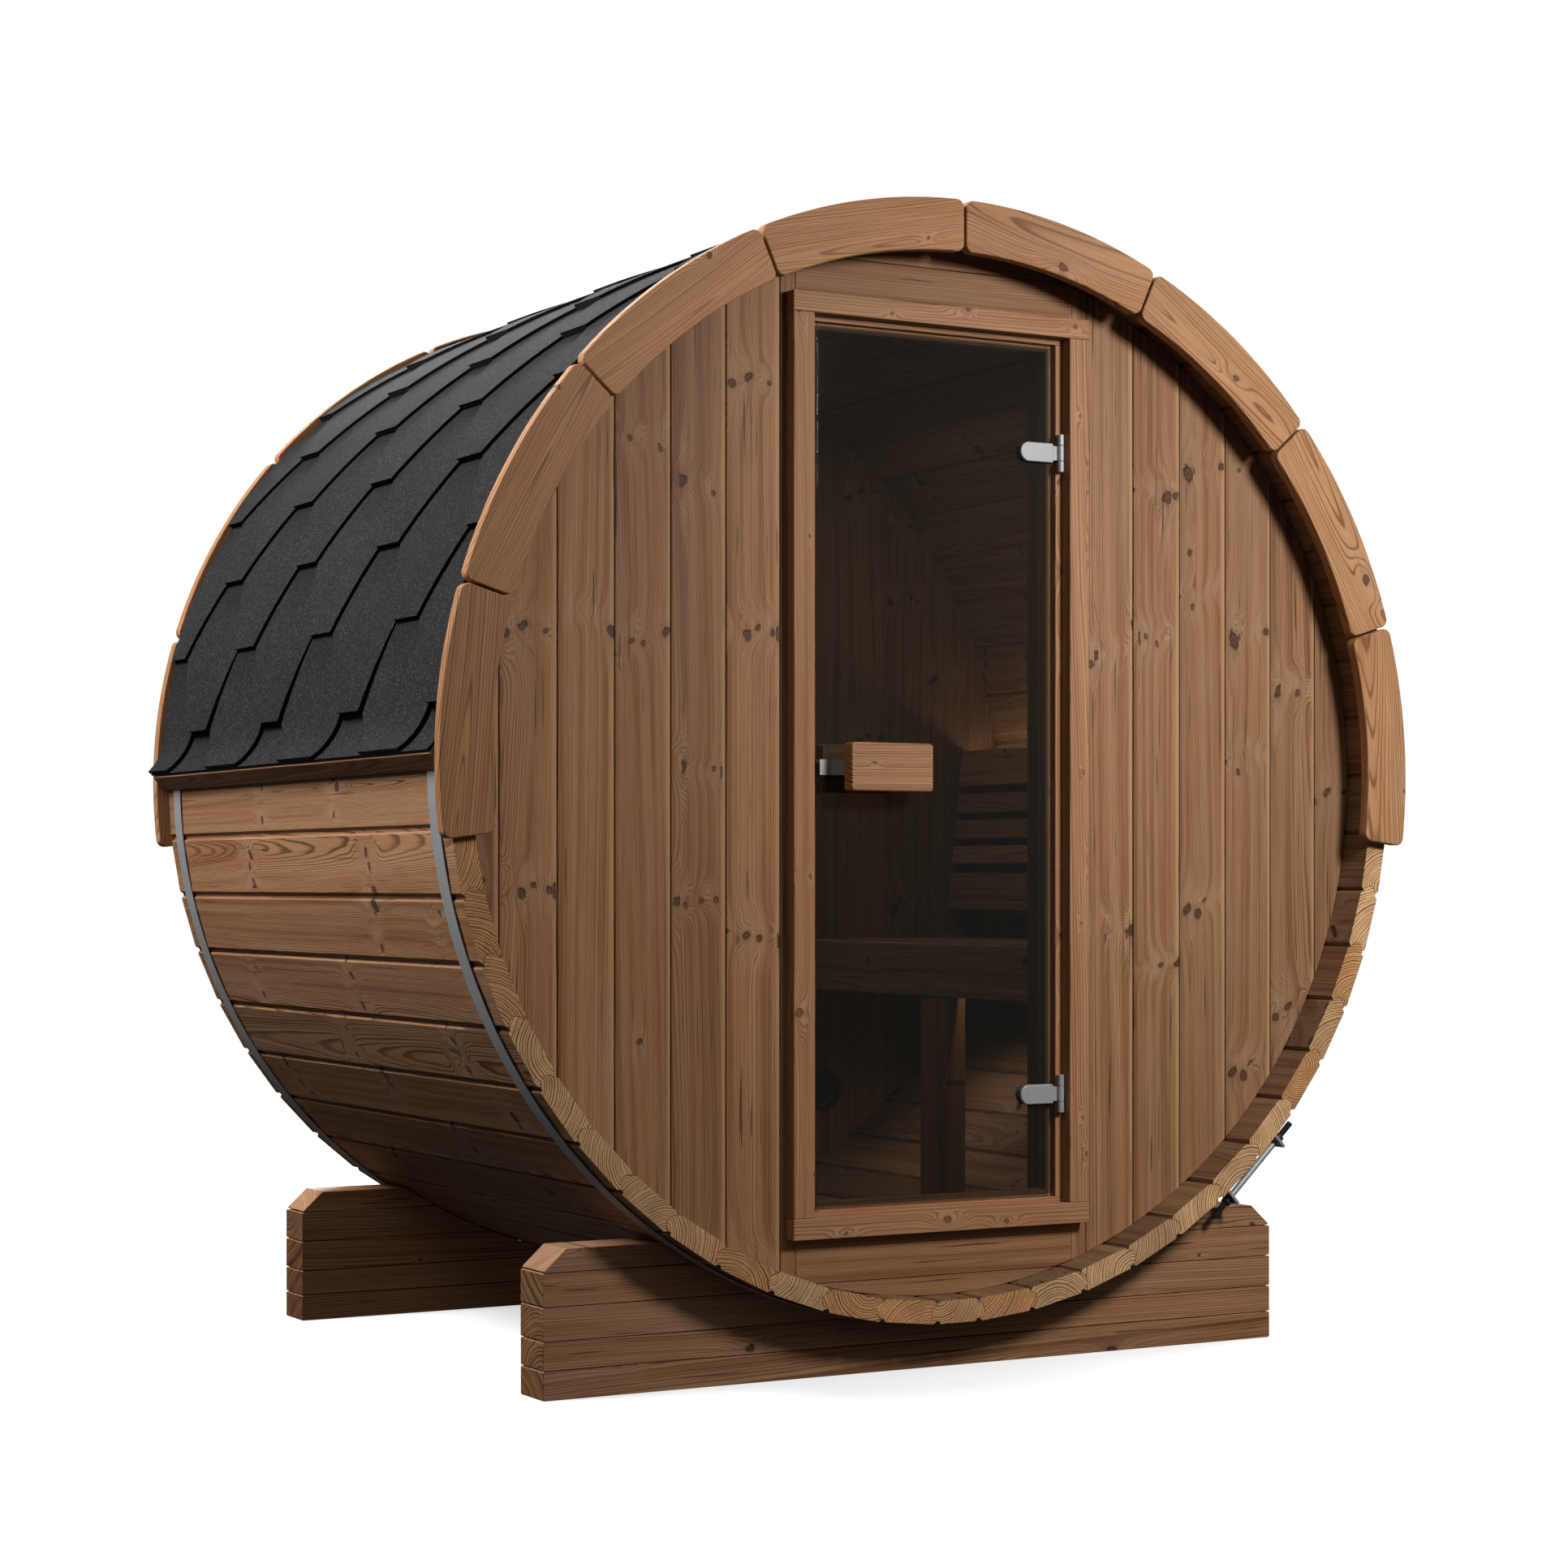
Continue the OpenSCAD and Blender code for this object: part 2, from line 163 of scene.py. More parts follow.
def prism(outline, c0, c1, rnd=1.0, nseg=2, rnd1=None, fix=None):
    """A closed bar: a flat outline (a, b) with depth c0 to c1 and rounded end edges.
    Returns points (a, b, c), faces, and for each face its (na, nb, nc) direction."""
    p = ccw(outline)
    n = len(p)
    mi = mitres(p)
    if fix is not None:
        mi = fix(p, mi)
    rnd1 = rnd if rnd1 is None else rnd1
    e = np.roll(p, -1, 0) - p
    ln = np.hypot(*e.T)
    shrink = -np.sum((np.roll(mi, -1, 0) - mi) * e, 1) / np.maximum(ln, 1e-9)
    room = 0.85 * np.min(np.where(shrink > 1e-6, ln / np.maximum(shrink, 1e-6), 1e6))
    rnd, rnd1 = min(rnd, room), min(rnd1, room)
    rings = []
    for k in range(nseg + 1):
        th = k / nseg * math.pi / 2
        rings.append((rnd * (1 - math.sin(th)), c0 + rnd * (1 - math.cos(th))))
    for k in range(nseg, -1, -1):
        th = k / nseg * math.pi / 2
        rings.append((rnd1 * (1 - math.sin(th)), c1 - rnd1 * (1 - math.cos(th))))
    pts = np.concatenate([np.column_stack([p + mi * s, np.full(n, c)]) for s, c in rings])
    faces, dirs = [], []
    e = np.roll(p, -1, 0) - p
    e /= np.maximum(np.hypot(*e.T), 1e-9)[:, None]
    for k in range(len(rings) - 1):
        a, b = k * n, (k + 1) * n
        for i in range(n):
            j = (i + 1) % n
            faces.append((a + i, a + j, b + j, b + i))
            dirs.append((e[i, 1], -e[i, 0], 0.0))
    faces.append(tuple(range(n - 1, -1, -1)))
    dirs.append((0, 0, -1))
    m = (len(rings) - 1) * n
    faces.append(tuple(range(m, m + n)))
    dirs.append((0, 0, 1))
    return pts, faces, dirs


KIND = {  # pith offset across the face and below it (mm, from and to), ring width 0..1
    "wall": (45, 190, 25, 110, 0.08, 0.62),
    "stave": (10, 85, 24, 78, 0.12, 0.66),
    "arch": (0, 38, 12, 42, 0.45, 1.00),
    "trim": (12, 70, 20, 80, 0.20, 0.90),
    "cradle": (20, 170, 30, 120, 0.20, 0.80),
    "bench": (10, 80, 20, 90, 0.20, 0.80),
}


def board(part, rng, outline, c0, c1, fn, order="cab", kind="wall", rnd=1.0, nseg=2,
          rnd1=None, fix=None, turn=None, tint=None, warm=None, inner=None):
    """One piece of timber. order says which of a, b, c runs along the grain, across it and
    through the thickness; turn rotates (a, b) about the origin first, for the grain only.
    inner (axis, sign) names the faces that take the third material: a darker copy of the wood, as painted shade."""
    pts, faces, dirs = prism(outline, c0, c1, rnd, nseg, rnd1, fix)
    g = pts.copy()
    ax = "abc".index(order[0])
    d = np.array(dirs, float)
    if turn is not None:
        c, s = math.cos(turn), math.sin(turn)
        g[:, 0], g[:, 1] = pts[:, 0] * c + pts[:, 1] * s, -pts[:, 0] * s + pts[:, 1] * c
        d[:, 0], d[:, 1] = d[:, 0] * c + d[:, 1] * s, -d[:, 0] * s + d[:, 1] * c
    mats = (np.abs(d[:, ax]) > 0.8).astype(int)
    if inner:
        mats[d[:, inner[0]] * inner[1] > 0.6] = 2
    mats = mats.tolist()
    u, v, w = (g[:, "abc".index(k)] for k in order)
    v = v - (v.min() + v.max()) / 2
    w = w - (w.min() + w.max()) / 2
    v_lo, v_hi, w_lo, w_hi, s_lo, s_hi = KIND[kind]
    v0 = rng.choice((-1, 1)) * rng.uniform(v_lo, v_hi)
    w0 = rng.choice((-1, 1)) * rng.uniform(w_lo, w_hi)
    lean_v, lean_w = rng.uniform(-0.012, 0.012), rng.uniform(-0.022, 0.022)
    if kind == "arch":
        lean_w *= 1.9
    um = (u.min() + u.max()) / 2
    bp = np.column_stack([u + rng.uniform(0, 40000), v - v0 + lean_v * (u - um), w - w0 + lean_w * (u - um)]) * 0.001
    bq = np.column_stack([u + rng.uniform(0, 40000), v + rng.uniform(0, 40000), v]) * 0.001
    be = np.column_stack([v - v.min(), v.max() - v, u - u.min()]) * 0.001
    t = rng.random() if tint is None else tint
    width, tw = rng.uniform(s_lo, s_hi), rng.random()
    bt = np.tile([t, width, tw if warm is None else warm], (len(pts), 1))
    xyz = np.array([fn(*q) for q in pts])
    part.add(xyz, faces, mats, bp, bq, bt, be)


def lathe(part, prof, fn, seg=40, mat=0, bt=0.5, bore=False):
    """A turned solid: profile points (radius, height). Closed by flat ends, or with a bore
    from its last point back to its first."""
    pts, faces = [], []
    for r, h in prof:
        for i in range(seg):
            t = 2 * math.pi * i / seg
            pts.append(fn(r * math.cos(t), r * math.sin(t), h))
    k = len(prof)
    for j in range(k - 1):
        for i in range(seg):
            i2 = (i + 1) % seg
            faces.append((j * seg + i, j * seg + i2, (j + 1) * seg + i2, (j + 1) * seg + i))
    if bore:
        for i in range(seg):
            i2 = (i + 1) % seg
            faces.append(((k - 1) * seg + i, (k - 1) * seg + i2, i2, i))
    else:
        faces.append(tuple(range(seg - 1, -1, -1)))
        faces.append(tuple(range((k - 1) * seg, k * seg)))
    loc = np.array([[r * math.cos(2 * math.pi * i / seg), r * math.sin(2 * math.pi * i / seg), h]
                    for r, h in prof for i in range(seg)]) * 0.001
    part.add(pts, faces, [mat] * len(faces), bp=loc, bq=loc, bt=np.full((len(pts), 3), bt))


def bar(part, outline, c0, c1, fn, rnd=0.8, nseg=2, mat=0, rnd1=None):
    """A plain solid bar with its own local coordinates, for metal and glass."""
    pts, faces, _ = prism(outline, c0, c1, rnd, nseg, rnd1)
    part.add(np.array([fn(*q) for q in pts]), faces, [mat] * len(faces), bp=pts * 0.001, bq=pts * 0.001)


def rect(a0, a1, b0, b1):
    return [(a0, b0), (a1, b0), (a1, b1), (a0, b1)]


def plain(a, b, c):          # outline in x, z; depth in y
    return (a, c, b)


def upright(a, b, c):        # outline in x, y; length in z
    return (a, b, c)


def along_x(a, b, c):        # outline in z, y; length in x
    return (c, b, a)


def along_y(a, b, c):        # outline in x, z; length in y
    return (a, c, b)


# ---------------------------------------------------------------------------
# Materials
# ---------------------------------------------------------------------------
class Graph:
    def __init__(self, name):
        self.mat = bpy.data.materials.new(name)
        self.mat.use_nodes = True
        self.t = self.mat.node_tree
        self.t.nodes.clear()
        self.out = self.t.nodes.new("ShaderNodeOutputMaterial")
        self.bsdf = self.t.nodes.new("ShaderNodeBsdfPrincipled")
        self.t.links.new(self.bsdf.outputs[0], self.out.inputs[0])

    def put(self, sock, x):
        if isinstance(x, bpy.types.NodeSocket):
            self.t.links.new(x, sock)
        elif isinstance(x, (tuple, list)):
            sock.default_value = (*x, 1.0) if len(x) == 3 and sock.type == "RGBA" else tuple(x)
        else:
            sock.default_value = x

    def set(self, **kw):
        for k, x in kw.items():
            self.put(self.bsdf.inputs[k.replace("_", " ")], x)

    def m(self, op, a, b=None, c=None, clamp=False):
        n = self.t.nodes.new("ShaderNodeMath")
        n.operation = op
        n.use_clamp = clamp
        for s, x in zip(n.inputs, (a, b, c)):
            if x is not None:
                self.put(s, x)
        return n.outputs[0]

    def add(self, a, b): return self.m("ADD", a, b)
    def sub(self, a, b): return self.m("SUBTRACT", a, b)
    def mul(self, a, b): return self.m("MULTIPLY", a, b)
    def div(self, a, b): return self.m("DIVIDE", a, b)
    def mad(self, a, b, c): return self.m("MULTIPLY_ADD", a, b, c)

    def hyp(self, a, b):
        return self.m("SQRT", self.mad(a, a, self.mul(b, b)))

    def gauss(self, x):
        """exp(-x)"""
        return self.m("POWER", 2.718282, self.mul(x, -1.0))

    def smooth(self, x, lo, hi, a=0.0, b=1.0):
        n = self.t.nodes.new("ShaderNodeMapRange")
        n.interpolation_type = "SMOOTHSTEP"
        for s, q in zip(n.inputs, (x, lo, hi, a, b)):
            self.put(s, q)
        return n.outputs[0]

    def attr(self, name):
        n = self.t.nodes.new("ShaderNodeAttribute")
        n.attribute_name = name
        return n.outputs["Vector"]

    def sep(self, v):
        n = self.t.nodes.new("ShaderNodeSeparateXYZ")
        self.put(n.inputs[0], v)
        return n.outputs

    def rgb(self, c):
        n = self.t.nodes.new("ShaderNodeSeparateColor")
        self.put(n.inputs[0], c)
        return n.outputs

    def comb(self, x, y, z):
        n = self.t.nodes.new("ShaderNodeCombineXYZ")
        for s, q in zip(n.inputs, (x, y, z)):
            self.put(s, q)
        return n.outputs[0]

    def grey(self, x):
        n = self.t.nodes.new("ShaderNodeCombineColor")
        for s in n.inputs:
            self.put(s, x)
        return n.outputs[0]

    def vmul(self, v, k):
        n = self.t.nodes.new("ShaderNodeVectorMath")
        n.operation = "MULTIPLY"
        self.put(n.inputs[0], v)
        self.put(n.inputs[1], k)
        return n.outputs[0]

    def noise(self, vec, scale=1.0, detail=2.0, rough=0.5, dims="3D"):
        n = self.t.nodes.new("ShaderNodeTexNoise")
        n.noise_dimensions = dims
        if dims == "1D":
            self.put(n.inputs["W"], vec)
        else:
            self.put(n.inputs["Vector"], vec)
        n.inputs["Scale"].default_value = scale
        n.inputs["Detail"].default_value = detail
        n.inputs["Roughness"].default_value = rough
        return n.outputs["Fac"] if "Fac" in n.outputs else n.outputs[0], n.outputs["Color"]

    def voronoi(self, vec, dims="2D", scale=1.0, random_=1.0, feature="F1"):
        n = self.t.nodes.new("ShaderNodeTexVoronoi")
        n.voronoi_dimensions = dims
        n.feature = feature
        self.put(n.inputs["W" if dims == "1D" else "Vector"], vec)
        n.inputs["Scale"].default_value = scale
        n.inputs["Randomness"].default_value = random_
        return n.outputs

    def mix(self, fac, a, b, blend="MIX"):
        n = self.t.nodes.new("ShaderNodeMix")
        n.data_type = "RGBA"
        n.blend_type = blend
        self.put(n.inputs["Factor"], fac)
        ins = [s for s in n.inputs if s.type == "RGBA"]
        self.put(ins[0], a)
        self.put(ins[1], b)
        return [s for s in n.outputs if s.type == "RGBA"][0]

    def bump(self, height, strength=0.3, dist=0.001):
        n = self.t.nodes.new("ShaderNodeBump")
        n.inputs["Strength"].default_value = strength
        n.inputs["Distance"].default_value = dist
        self.put(n.inputs["Height"], height)
        self.put(self.bsdf.inputs["Normal"], n.outputs[0])


def wood(name, light, dark, knot, contrast=0.6, ring=1.0, wave=0.016, tint=(0.80, 0.40), rough=0.58, grey=0.35,
         spec=0.25, bands=1.0, streaks=1.0, single=None, whorl=None, edge=0.0, thin=0.35,
         reach=2.0, push=2.3):
    """Sawn softwood: growth rings round a pith line, grain that flows round knots, lighter and
    darker bands, fibres, short dark cracks, and each board with its own tone.
    single: cells a metre along and across, share of cells with a knot, largest radius.
    whorl: rows of knots across the board: rows a metre, share, largest radius, length across.
    reach, push: how far from a knot the grain bends, and how much."""
    g = Graph(name)
    u, v, w = g.sep(g.attr("bp"))[:3]
    qx, qy, vc = g.sep(g.attr("bq"))[:3]
    t0, t1, t2 = g.sep(g.attr("bt"))[:3]
    wob = g.noise(g.comb(g.mul(qx, 90.0), g.mul(qy, 110.0), 0.0), detail=2.0, dims="2D")[0]
    shift, calm, spots = [], [], []
    if single:
        kx, ky, share, big = single
        cell = g.comb(g.mul(qx, kx), g.mul(qy, ky), 0.0)
        vo = g.voronoi(cell, random_=0.80)
        fade = g.smooth(g.voronoi(cell, random_=0.80, feature="DISTANCE_TO_EDGE")["Distance"], 0.0, 0.17)
        pos, kc = g.sep(vo["Position"]), g.rgb(vo["Color"])
        on = g.m("GREATER_THAN", kc[0], 1.0 - share)
        spots.append((g.sub(qx, g.div(pos[0], kx)), g.sub(qy, g.div(pos[1], ky)), kc, on, big, 1.0, fade))
    if whorl:
        kx, share, big, tall = whorl
        vo = g.voronoi(g.mul(qx, kx), dims="1D", random_=0.85)
        wc = g.rgb(vo["Color"])
        dw = g.sub(qx, g.div(vo["W"], kx))
        won = g.m("GREATER_THAN", wc[0], 1.0 - share)
        vk = g.voronoi(g.comb(g.mul(wc[1], 97.0), g.mul(vc, 34.0), 0.0), random_=0.9)
        pos, kc = g.sep(vk["Position"]), g.rgb(vk["Color"])
        on = g.mul(won, g.m("GREATER_THAN", kc[0], 0.40))
        lean = g.mul(vc, g.mad(wc[2], 0.7, -0.35))
        spots.append((g.add(g.add(dw, lean), g.mad(kc[2], 0.030, -0.015)), g.sub(vc, g.div(pos[1], 34.0)), kc, on, big, tall, None))
        swirl = g.noise(g.comb(g.mul(qx, 14.0), g.mul(qy, 30.0), 0.0), detail=0.0, dims="2D")[0]
        lump = g.mul(won, g.gauss(g.m("POWER", g.div(g.sub(dw, 0.014), 0.030), 2.0)))
        shift.append(g.mul(lump, g.mad(swirl, 0.034, -0.008)))
        calm.append(g.mul(lump, g.smooth(swirl, 0.42, 0.60)))
    knots = []
    for du, dv, kc, on, big, tall, fade in spots:
        rk = g.mad(g.mul(on, g.mad(g.mul(kc[1], kc[1]), 0.65, 0.35)), big, 0.00002)
        du = g.mad(dv, g.mul(g.sub(kc[2], 0.5), 0.9), du)
        ex = g.div(du, g.mad(kc[2], 0.7, 0.9))
        ey = g.div(dv, tall)
        kn = g.div(g.mul(g.hyp(ex, ey), g.mad(wob, 0.9, 0.55)), rk)
        fx = g.div(du, 3.0)
        span = g.mul(rk, reach)
        flow = g.gauss(g.div(g.mad(fx, fx, g.mul(ey, ey)), g.mul(g.mul(span, span), 2.0)))
        if fade is not None:
            kn = g.div(kn, g.m("MAXIMUM", fade, 0.08))
            flow = g.mul(flow, fade)
        shift.append(g.mul(g.mul(rk, flow), push))
        calm.append(g.mul(flow, on))
        tail = g.mul(g.gauss(g.m("POWER", g.div(dv, g.mul(rk, 0.55)), 2.0)), g.smooth(du, -0.075, -0.004))
        tail = g.mul(g.mul(tail, g.smooth(du, 0.0, 0.006, 1.0, 0.0)), g.mul(on, g.smooth(kc[1], 0.45, 0.8)))
        if fade is not None:
            tail = g.mul(tail, fade)
        knots.append((kn, kc, tail))
    # rings
    na = g.rgb(g.noise(g.comb(g.mul(u, 1.3), g.mul(v, 9.0), g.mul(w, 9.0)), detail=1.0)[1])
    vv = g.mad(g.sub(na[0], 0.5), wave, v)
    ww = g.mad(g.sub(na[1], 0.5), wave, w)
    nb = g.noise(g.comb(g.mul(u, 9.0), g.mul(v, 60.0), g.mul(w, 60.0)), detail=1.0)[0]
    r = g.mad(g.sub(nb, 0.5), 0.0016, g.hyp(vv, ww))
    for q in shift:
        r = g.add(r, q)
    pitch = g.mul(g.mad(t1, 0.0034, 0.0017), ring)
    nr = g.noise(g.mul(r, 75.0), detail=1.0, dims="1D")[0]
    turns = g.mad(nr, 2.0, g.div(r, pitch))
    f = g.m("FRACT", turns)
    late = g.mul(g.smooth(f, thin, 0.84), g.smooth(f, 0.87, 1.0, 1.0, 0.0))
    # bands that follow the rings, fibres and patches
    band = g.noise(g.comb(g.mul(u, 0.6), g.mul(r, 80.0), g.mul(t0, 40.0)), detail=2.0, rough=0.6)[0]
    nd = g.noise(g.comb(g.mul(u, 16.0), g.mul(v, 650.0), g.mul(w, 650.0)), detail=3.0, rough=0.65)[0]
    ne = g.rgb(g.noise(g.comb(g.mul(u, 2.2), g.mul(v, 24.0), g.mul(w, 24.0)), detail=2.0)[1])
    depth = g.mul(g.mul(late, contrast), g.mad(ne[0], 1.3, 0.35))
    col = g.mix(g.m("MINIMUM", depth, 1.0), light, dark)
    col = g.mix(g.mul(g.smooth(band, 0.49, 0.64), 0.85 * bands), col, g.mix(1.0, col, (0.74, 0.62, 0.52), "MULTIPLY"))
    col = g.mix(g.mul(g.smooth(band, 0.49, 0.33), 0.85 * bands), col, g.mix(1.0, col, (1.18, 1.22, 1.26), "MULTIPLY"))
    # greyer patches, most where the grain is disturbed
    mean = sum(light) / 3
    pale = tuple(0.22 * mean + 0.78 * c for c in light)
    patch = g.smooth(ne[1], 0.50, 0.74)
    for q in calm:
        feather = q if q is calm[0] else g.m("MAXIMUM", feather, q)
    col = g.mix(g.mul(patch, grey), col, tuple(c * 1.02 for c in pale))
    if calm:
        col = g.mix(g.mul(g.mul(feather, g.sub(1.0, g.mul(late, 0.55))), 0.50), col, tuple(c * 1.28 for c in pale))
    col = g.mix(g.mul(g.smooth(ne[2], 0.47, 0.72), 0.50), col, g.mix(1.0, col, (0.90, 0.74, 0.60), "MULTIPLY"))
    nf = g.noise(g.comb(g.mul(u, 2.4), g.mul(v, 210.0), g.mul(w, 210.0)), detail=2.0, rough=0.6)[0]
    tone = g.mul(g.mad(t0, tint[1], tint[0]), g.mul(g.mad(nd, 0.62, 0.69), g.mad(nf, 0.50, 0.75)))
    col = g.mix(1.0, col, g.grey(tone), "MULTIPLY")
    col = g.mix(g.mul(t2, 0.6), col, g.mix(1.0, col, (1.10, 0.95, 0.80), "MULTIPLY"))
    # painted highlight: a light band along each board's right edge; painted shade: a darker band along its left edge
    if edge:
        be = g.sep(g.attr("be"))
        lit_edge_band = g.mad(g.sub(ne[0], 0.5), 0.010, be[1])
        col = g.mix(g.mul(g.smooth(lit_edge_band, 0.004, 0.013, 1.0, 0.0), edge), col, tuple(c * k for c, k in zip(light, (1.42, 1.52, 1.50))))
        col = g.mix(g.smooth(be[0], 0.0, 0.014, 0.55 * edge, 0.0), col, g.mix(1.0, col, (0.50, 0.46, 0.44), "MULTIPLY"))
    # short dark cracks along the grain
    if streaks:
        ns = g.noise(g.comb(g.mul(qx, 4.2), g.mul(qy, 150.0), 0.0), detail=1.0, dims="2D")[0]
        dash2 = g.mul(g.smooth(ns, 0.735, 0.80), 0.80 * streaks)
        col = g.mix(dash2, col, tuple(c * 0.8 for c in knot))
    core_all = None
    for kn, kc, tail in knots:
        col = g.mix(g.mul(g.mul(tail, g.mad(nd, 1.2, 0.1)), 0.60), col, tuple(c * 1.9 for c in knot))
        halo = g.gauss(g.mul(g.mul(kn, kn), 0.42))
        col = g.mix(g.mul(halo, 0.50), col, tuple(c * 2.2 for c in knot))
        core = g.smooth(kn, 0.74, 1.08, 1.0, 0.0)
        eye = g.m("SINE", g.mad(kn, 11.0, g.mul(kc[2], 6.0)))
        kcol = g.mix(g.mad(eye, 0.32, g.mad(kc[1], 0.5, 0.2)), tuple(c * 2.5 for c in knot), tuple(c * 0.75 for c in knot))
        col = g.mix(g.mul(core, 0.90), col, kcol)
        rim = g.mul(g.smooth(kn, 0.60, 0.90), g.smooth(kn, 0.98, 1.25, 1.0, 0.0))
        col = g.mix(g.mul(rim, 0.72), col, tuple(c * 0.34 for c in knot))
        core_all = core if core_all is None else g.m("MAXIMUM", core_all, core)
    g.set(Base_Color=col, Roughness=g.mad(late, -0.10, g.mad(nd, 0.16, rough - 0.05)), Specular_IOR_Level=spec)
    h = g.add(g.mul(late, -0.5), g.mul(nd, 0.9))
    if core_all is not None:
        h = g.mad(core_all, -1.5, h)
    for q in calm:
        h = g.mad(q, 0.8, h)
    g.bump(h, 0.40, 0.0008)
    return g.mat


def end_grain(name, light, dark, tint=(0.82, 0.30), ring=1.0):
    """Sawn board end: ring lines, fine saw lines and pores; some boards are browner."""
    g = Graph(name)
    u, v, w = g.sep(g.attr("bp"))[:3]
    t0, t1, t2 = g.sep(g.attr("bt"))[:3]
    na = g.rgb(g.noise(g.comb(g.mul(u, 2.0), g.mul(v, 24.0), g.mul(w, 24.0)), detail=2.0)[1])
    vv = g.mad(g.sub(na[0], 0.5), 0.008, v)
    ww = g.mad(g.sub(na[1], 0.5), 0.008, w)
    r = g.hyp(vv, ww)
    pitch = g.mul(g.mad(t1, 0.0026, 0.0042), ring)
    nr = g.noise(g.mul(r, 75.0), detail=1.0, dims="1D")[0]
    f = g.m("FRACT", g.mad(nr, 1.6, g.div(r, pitch)))
    late = g.mul(g.smooth(f, 0.45, 0.84), g.smooth(f, 0.88, 1.0, 1.0, 0.0))
    saw = g.noise(g.comb(g.mul(g.add(v, g.mul(w, 0.8)), 900.0), g.mul(g.sub(w, v), 90.0), 0.0), detail=2.0, rough=0.6, dims="2D")[0]
    pores = g.noise(g.comb(g.mul(v, 1100.0), g.mul(w, 1100.0), g.mul(u, 30.0)), detail=1.0)[0]
    col = g.mix(g.m("MINIMUM", g.mul(late, g.mad(na[2], 1.3, 0.45)), 1.0), light, dark)
    col = g.mix(g.mul(g.smooth(pores, 0.54, 0.70), 0.60), col, dark)
    tone = g.mul(g.mad(t0, tint[1], tint[0]), g.mad(saw, 0.9, 0.55))
    tone = g.mul(tone, g.mad(na[0], 0.7, 0.65))
    col = g.mix(1.0, col, g.grey(tone), "MULTIPLY")
    col = g.mix(g.smooth(t2, 0.62, 0.72, 0.0, 0.85), col, g.mix(1.0, col, (0.86, 0.70, 0.56), "MULTIPLY"))
    g.set(Base_Color=col, Roughness=g.mad(saw, 0.15, 0.72), Specular_IOR_Level=0.2)
    g.bump(g.add(g.mul(saw, 0.7), g.mul(late, 0.6)), 0.5, 0.0008)
    return g.mat


def shingle_mat(name):
    """Bitumen shingle faced with mineral granules."""
    g = Graph(name)
    p = g.attr("bp")
    t0, lap = g.sep(g.attr("bt"))[:2]
    gran = g.voronoi(p, dims="3D", scale=520.0)
    gr = g.rgb(gran["Color"])
    fine = g.noise(p, 900.0, 2.0, 0.7)[0]
    patch = g.noise(p, 9.0, 3.0, 0.6)[0]
    streak = g.noise(g.vmul(p, (6.0, 60.0, 6.0)), 1.0, 2.0)[0]
    speck = g.smooth(gr[0], 0.74, 0.96)
    tone = g.mul(g.mad(t0, 0.30, 0.85), g.mad(patch, 0.36, 0.82))
    tone = g.mul(tone, g.mad(fine, 0.9, 0.55))
    # painted shade: the second bt value darkens the shingle below the edge of the row that laps over it
    tone = g.mul(g.mul(tone, g.mad(streak, 0.2, 0.9)), g.mad(lap, -0.52, 1.0))
    col = g.mix(g.mul(gr[1], 0.9), (0.0050, 0.0050, 0.0057), (0.0142, 0.0142, 0.0155))
    col = g.mix(g.mul(speck, 0.70), col, (0.066, 0.066, 0.072))
    col = g.mix(1.0, col, g.grey(tone), "MULTIPLY")
    g.set(Base_Color=col, Roughness=g.mad(gr[2], 0.12, 0.80), Specular_IOR_Level=0.18)
    g.bump(g.add(g.mul(gran["Distance"], -1.0), g.mul(fine, 0.6)), 0.55, 0.0010)
    return g.mat


def shingle_edge_mat(name):
    g = Graph(name)
    p = g.attr("bp")
    n = g.noise(p, 700.0, 3.0, 0.6)[0]
    col = g.mix(n, (0.0035, 0.0035, 0.0038), (0.011, 0.011, 0.0115))
    g.set(Base_Color=col, Roughness=g.mad(n, 0.2, 0.75), Specular_IOR_Level=0.25)
    g.bump(n, 0.4, 0.0006)
    return g.mat


def steel(name, base, rough, along, spread=0.18, metallic=1.0, pitting=0.0):
    """Rolled or brushed metal; along stretches the brush lines."""
    g = Graph(name)
    p = g.attr("bp")
    br = g.noise(g.vmul(p, along), 1.0, 3.0, 0.6)[0]
    cl = g.noise(p, 22.0, 3.0, 0.6)[0]
    fine = g.noise(p, 900.0, 2.0)[0]
    tone = g.mul(g.mad(br, spread, 1.0 - spread / 2), g.mad(cl, spread * 0.8, 1.0 - spread * 0.4))
    col = g.mix(1.0, base, g.grey(tone), "MULTIPLY")
    if pitting:
        col = g.mix(g.mul(g.smooth(cl, 0.55, 0.75), pitting), col, tuple(c * 0.55 for c in base))
    g.set(Base_Color=col, Metallic=metallic, Roughness=g.mad(br, 0.16, g.mad(cl, 0.12, rough - 0.12)))
    g.bump(g.add(br, g.mul(fine, 0.4)), 0.12, 0.0003)
    return g.mat


def glass_mat(name):
    """Toughened bronze-tinted glass, with the faint unevenness and film of real panes."""
    g = Graph(name)
    p = g.attr("bp")
    film = g.noise(g.vmul(p, (2.0, 1.2, 2.0)), 1.0, 4.0, 0.6)[0]
    col = g.mix(film, (0.0112, 0.0122, 0.0108), (0.0160, 0.0174, 0.0155))
    g.set(Base_Color=col, Roughness=g.mad(film, 0.05, 0.015), Alpha=0.42, IOR=1.52, Specular_IOR_Level=0.5)
    return g.mat


def plastic(name, base, rough=0.5):
    g = Graph(name)
    tc = g.t.nodes.new("ShaderNodeTexCoord").outputs["Object"]
    n = g.noise(tc, 600.0, 2.0)[0]
    c = g.noise(tc, 25.0, 3.0)[0]
    col = g.mix(c, tuple(x * 0.8 for x in base), tuple(x * 1.2 for x in base))
    g.set(Base_Color=col, Roughness=g.mad(n, 0.15, rough), Specular_IOR_Level=0.45)
    g.bump(n, 0.15, 0.0004)
    return g.mat


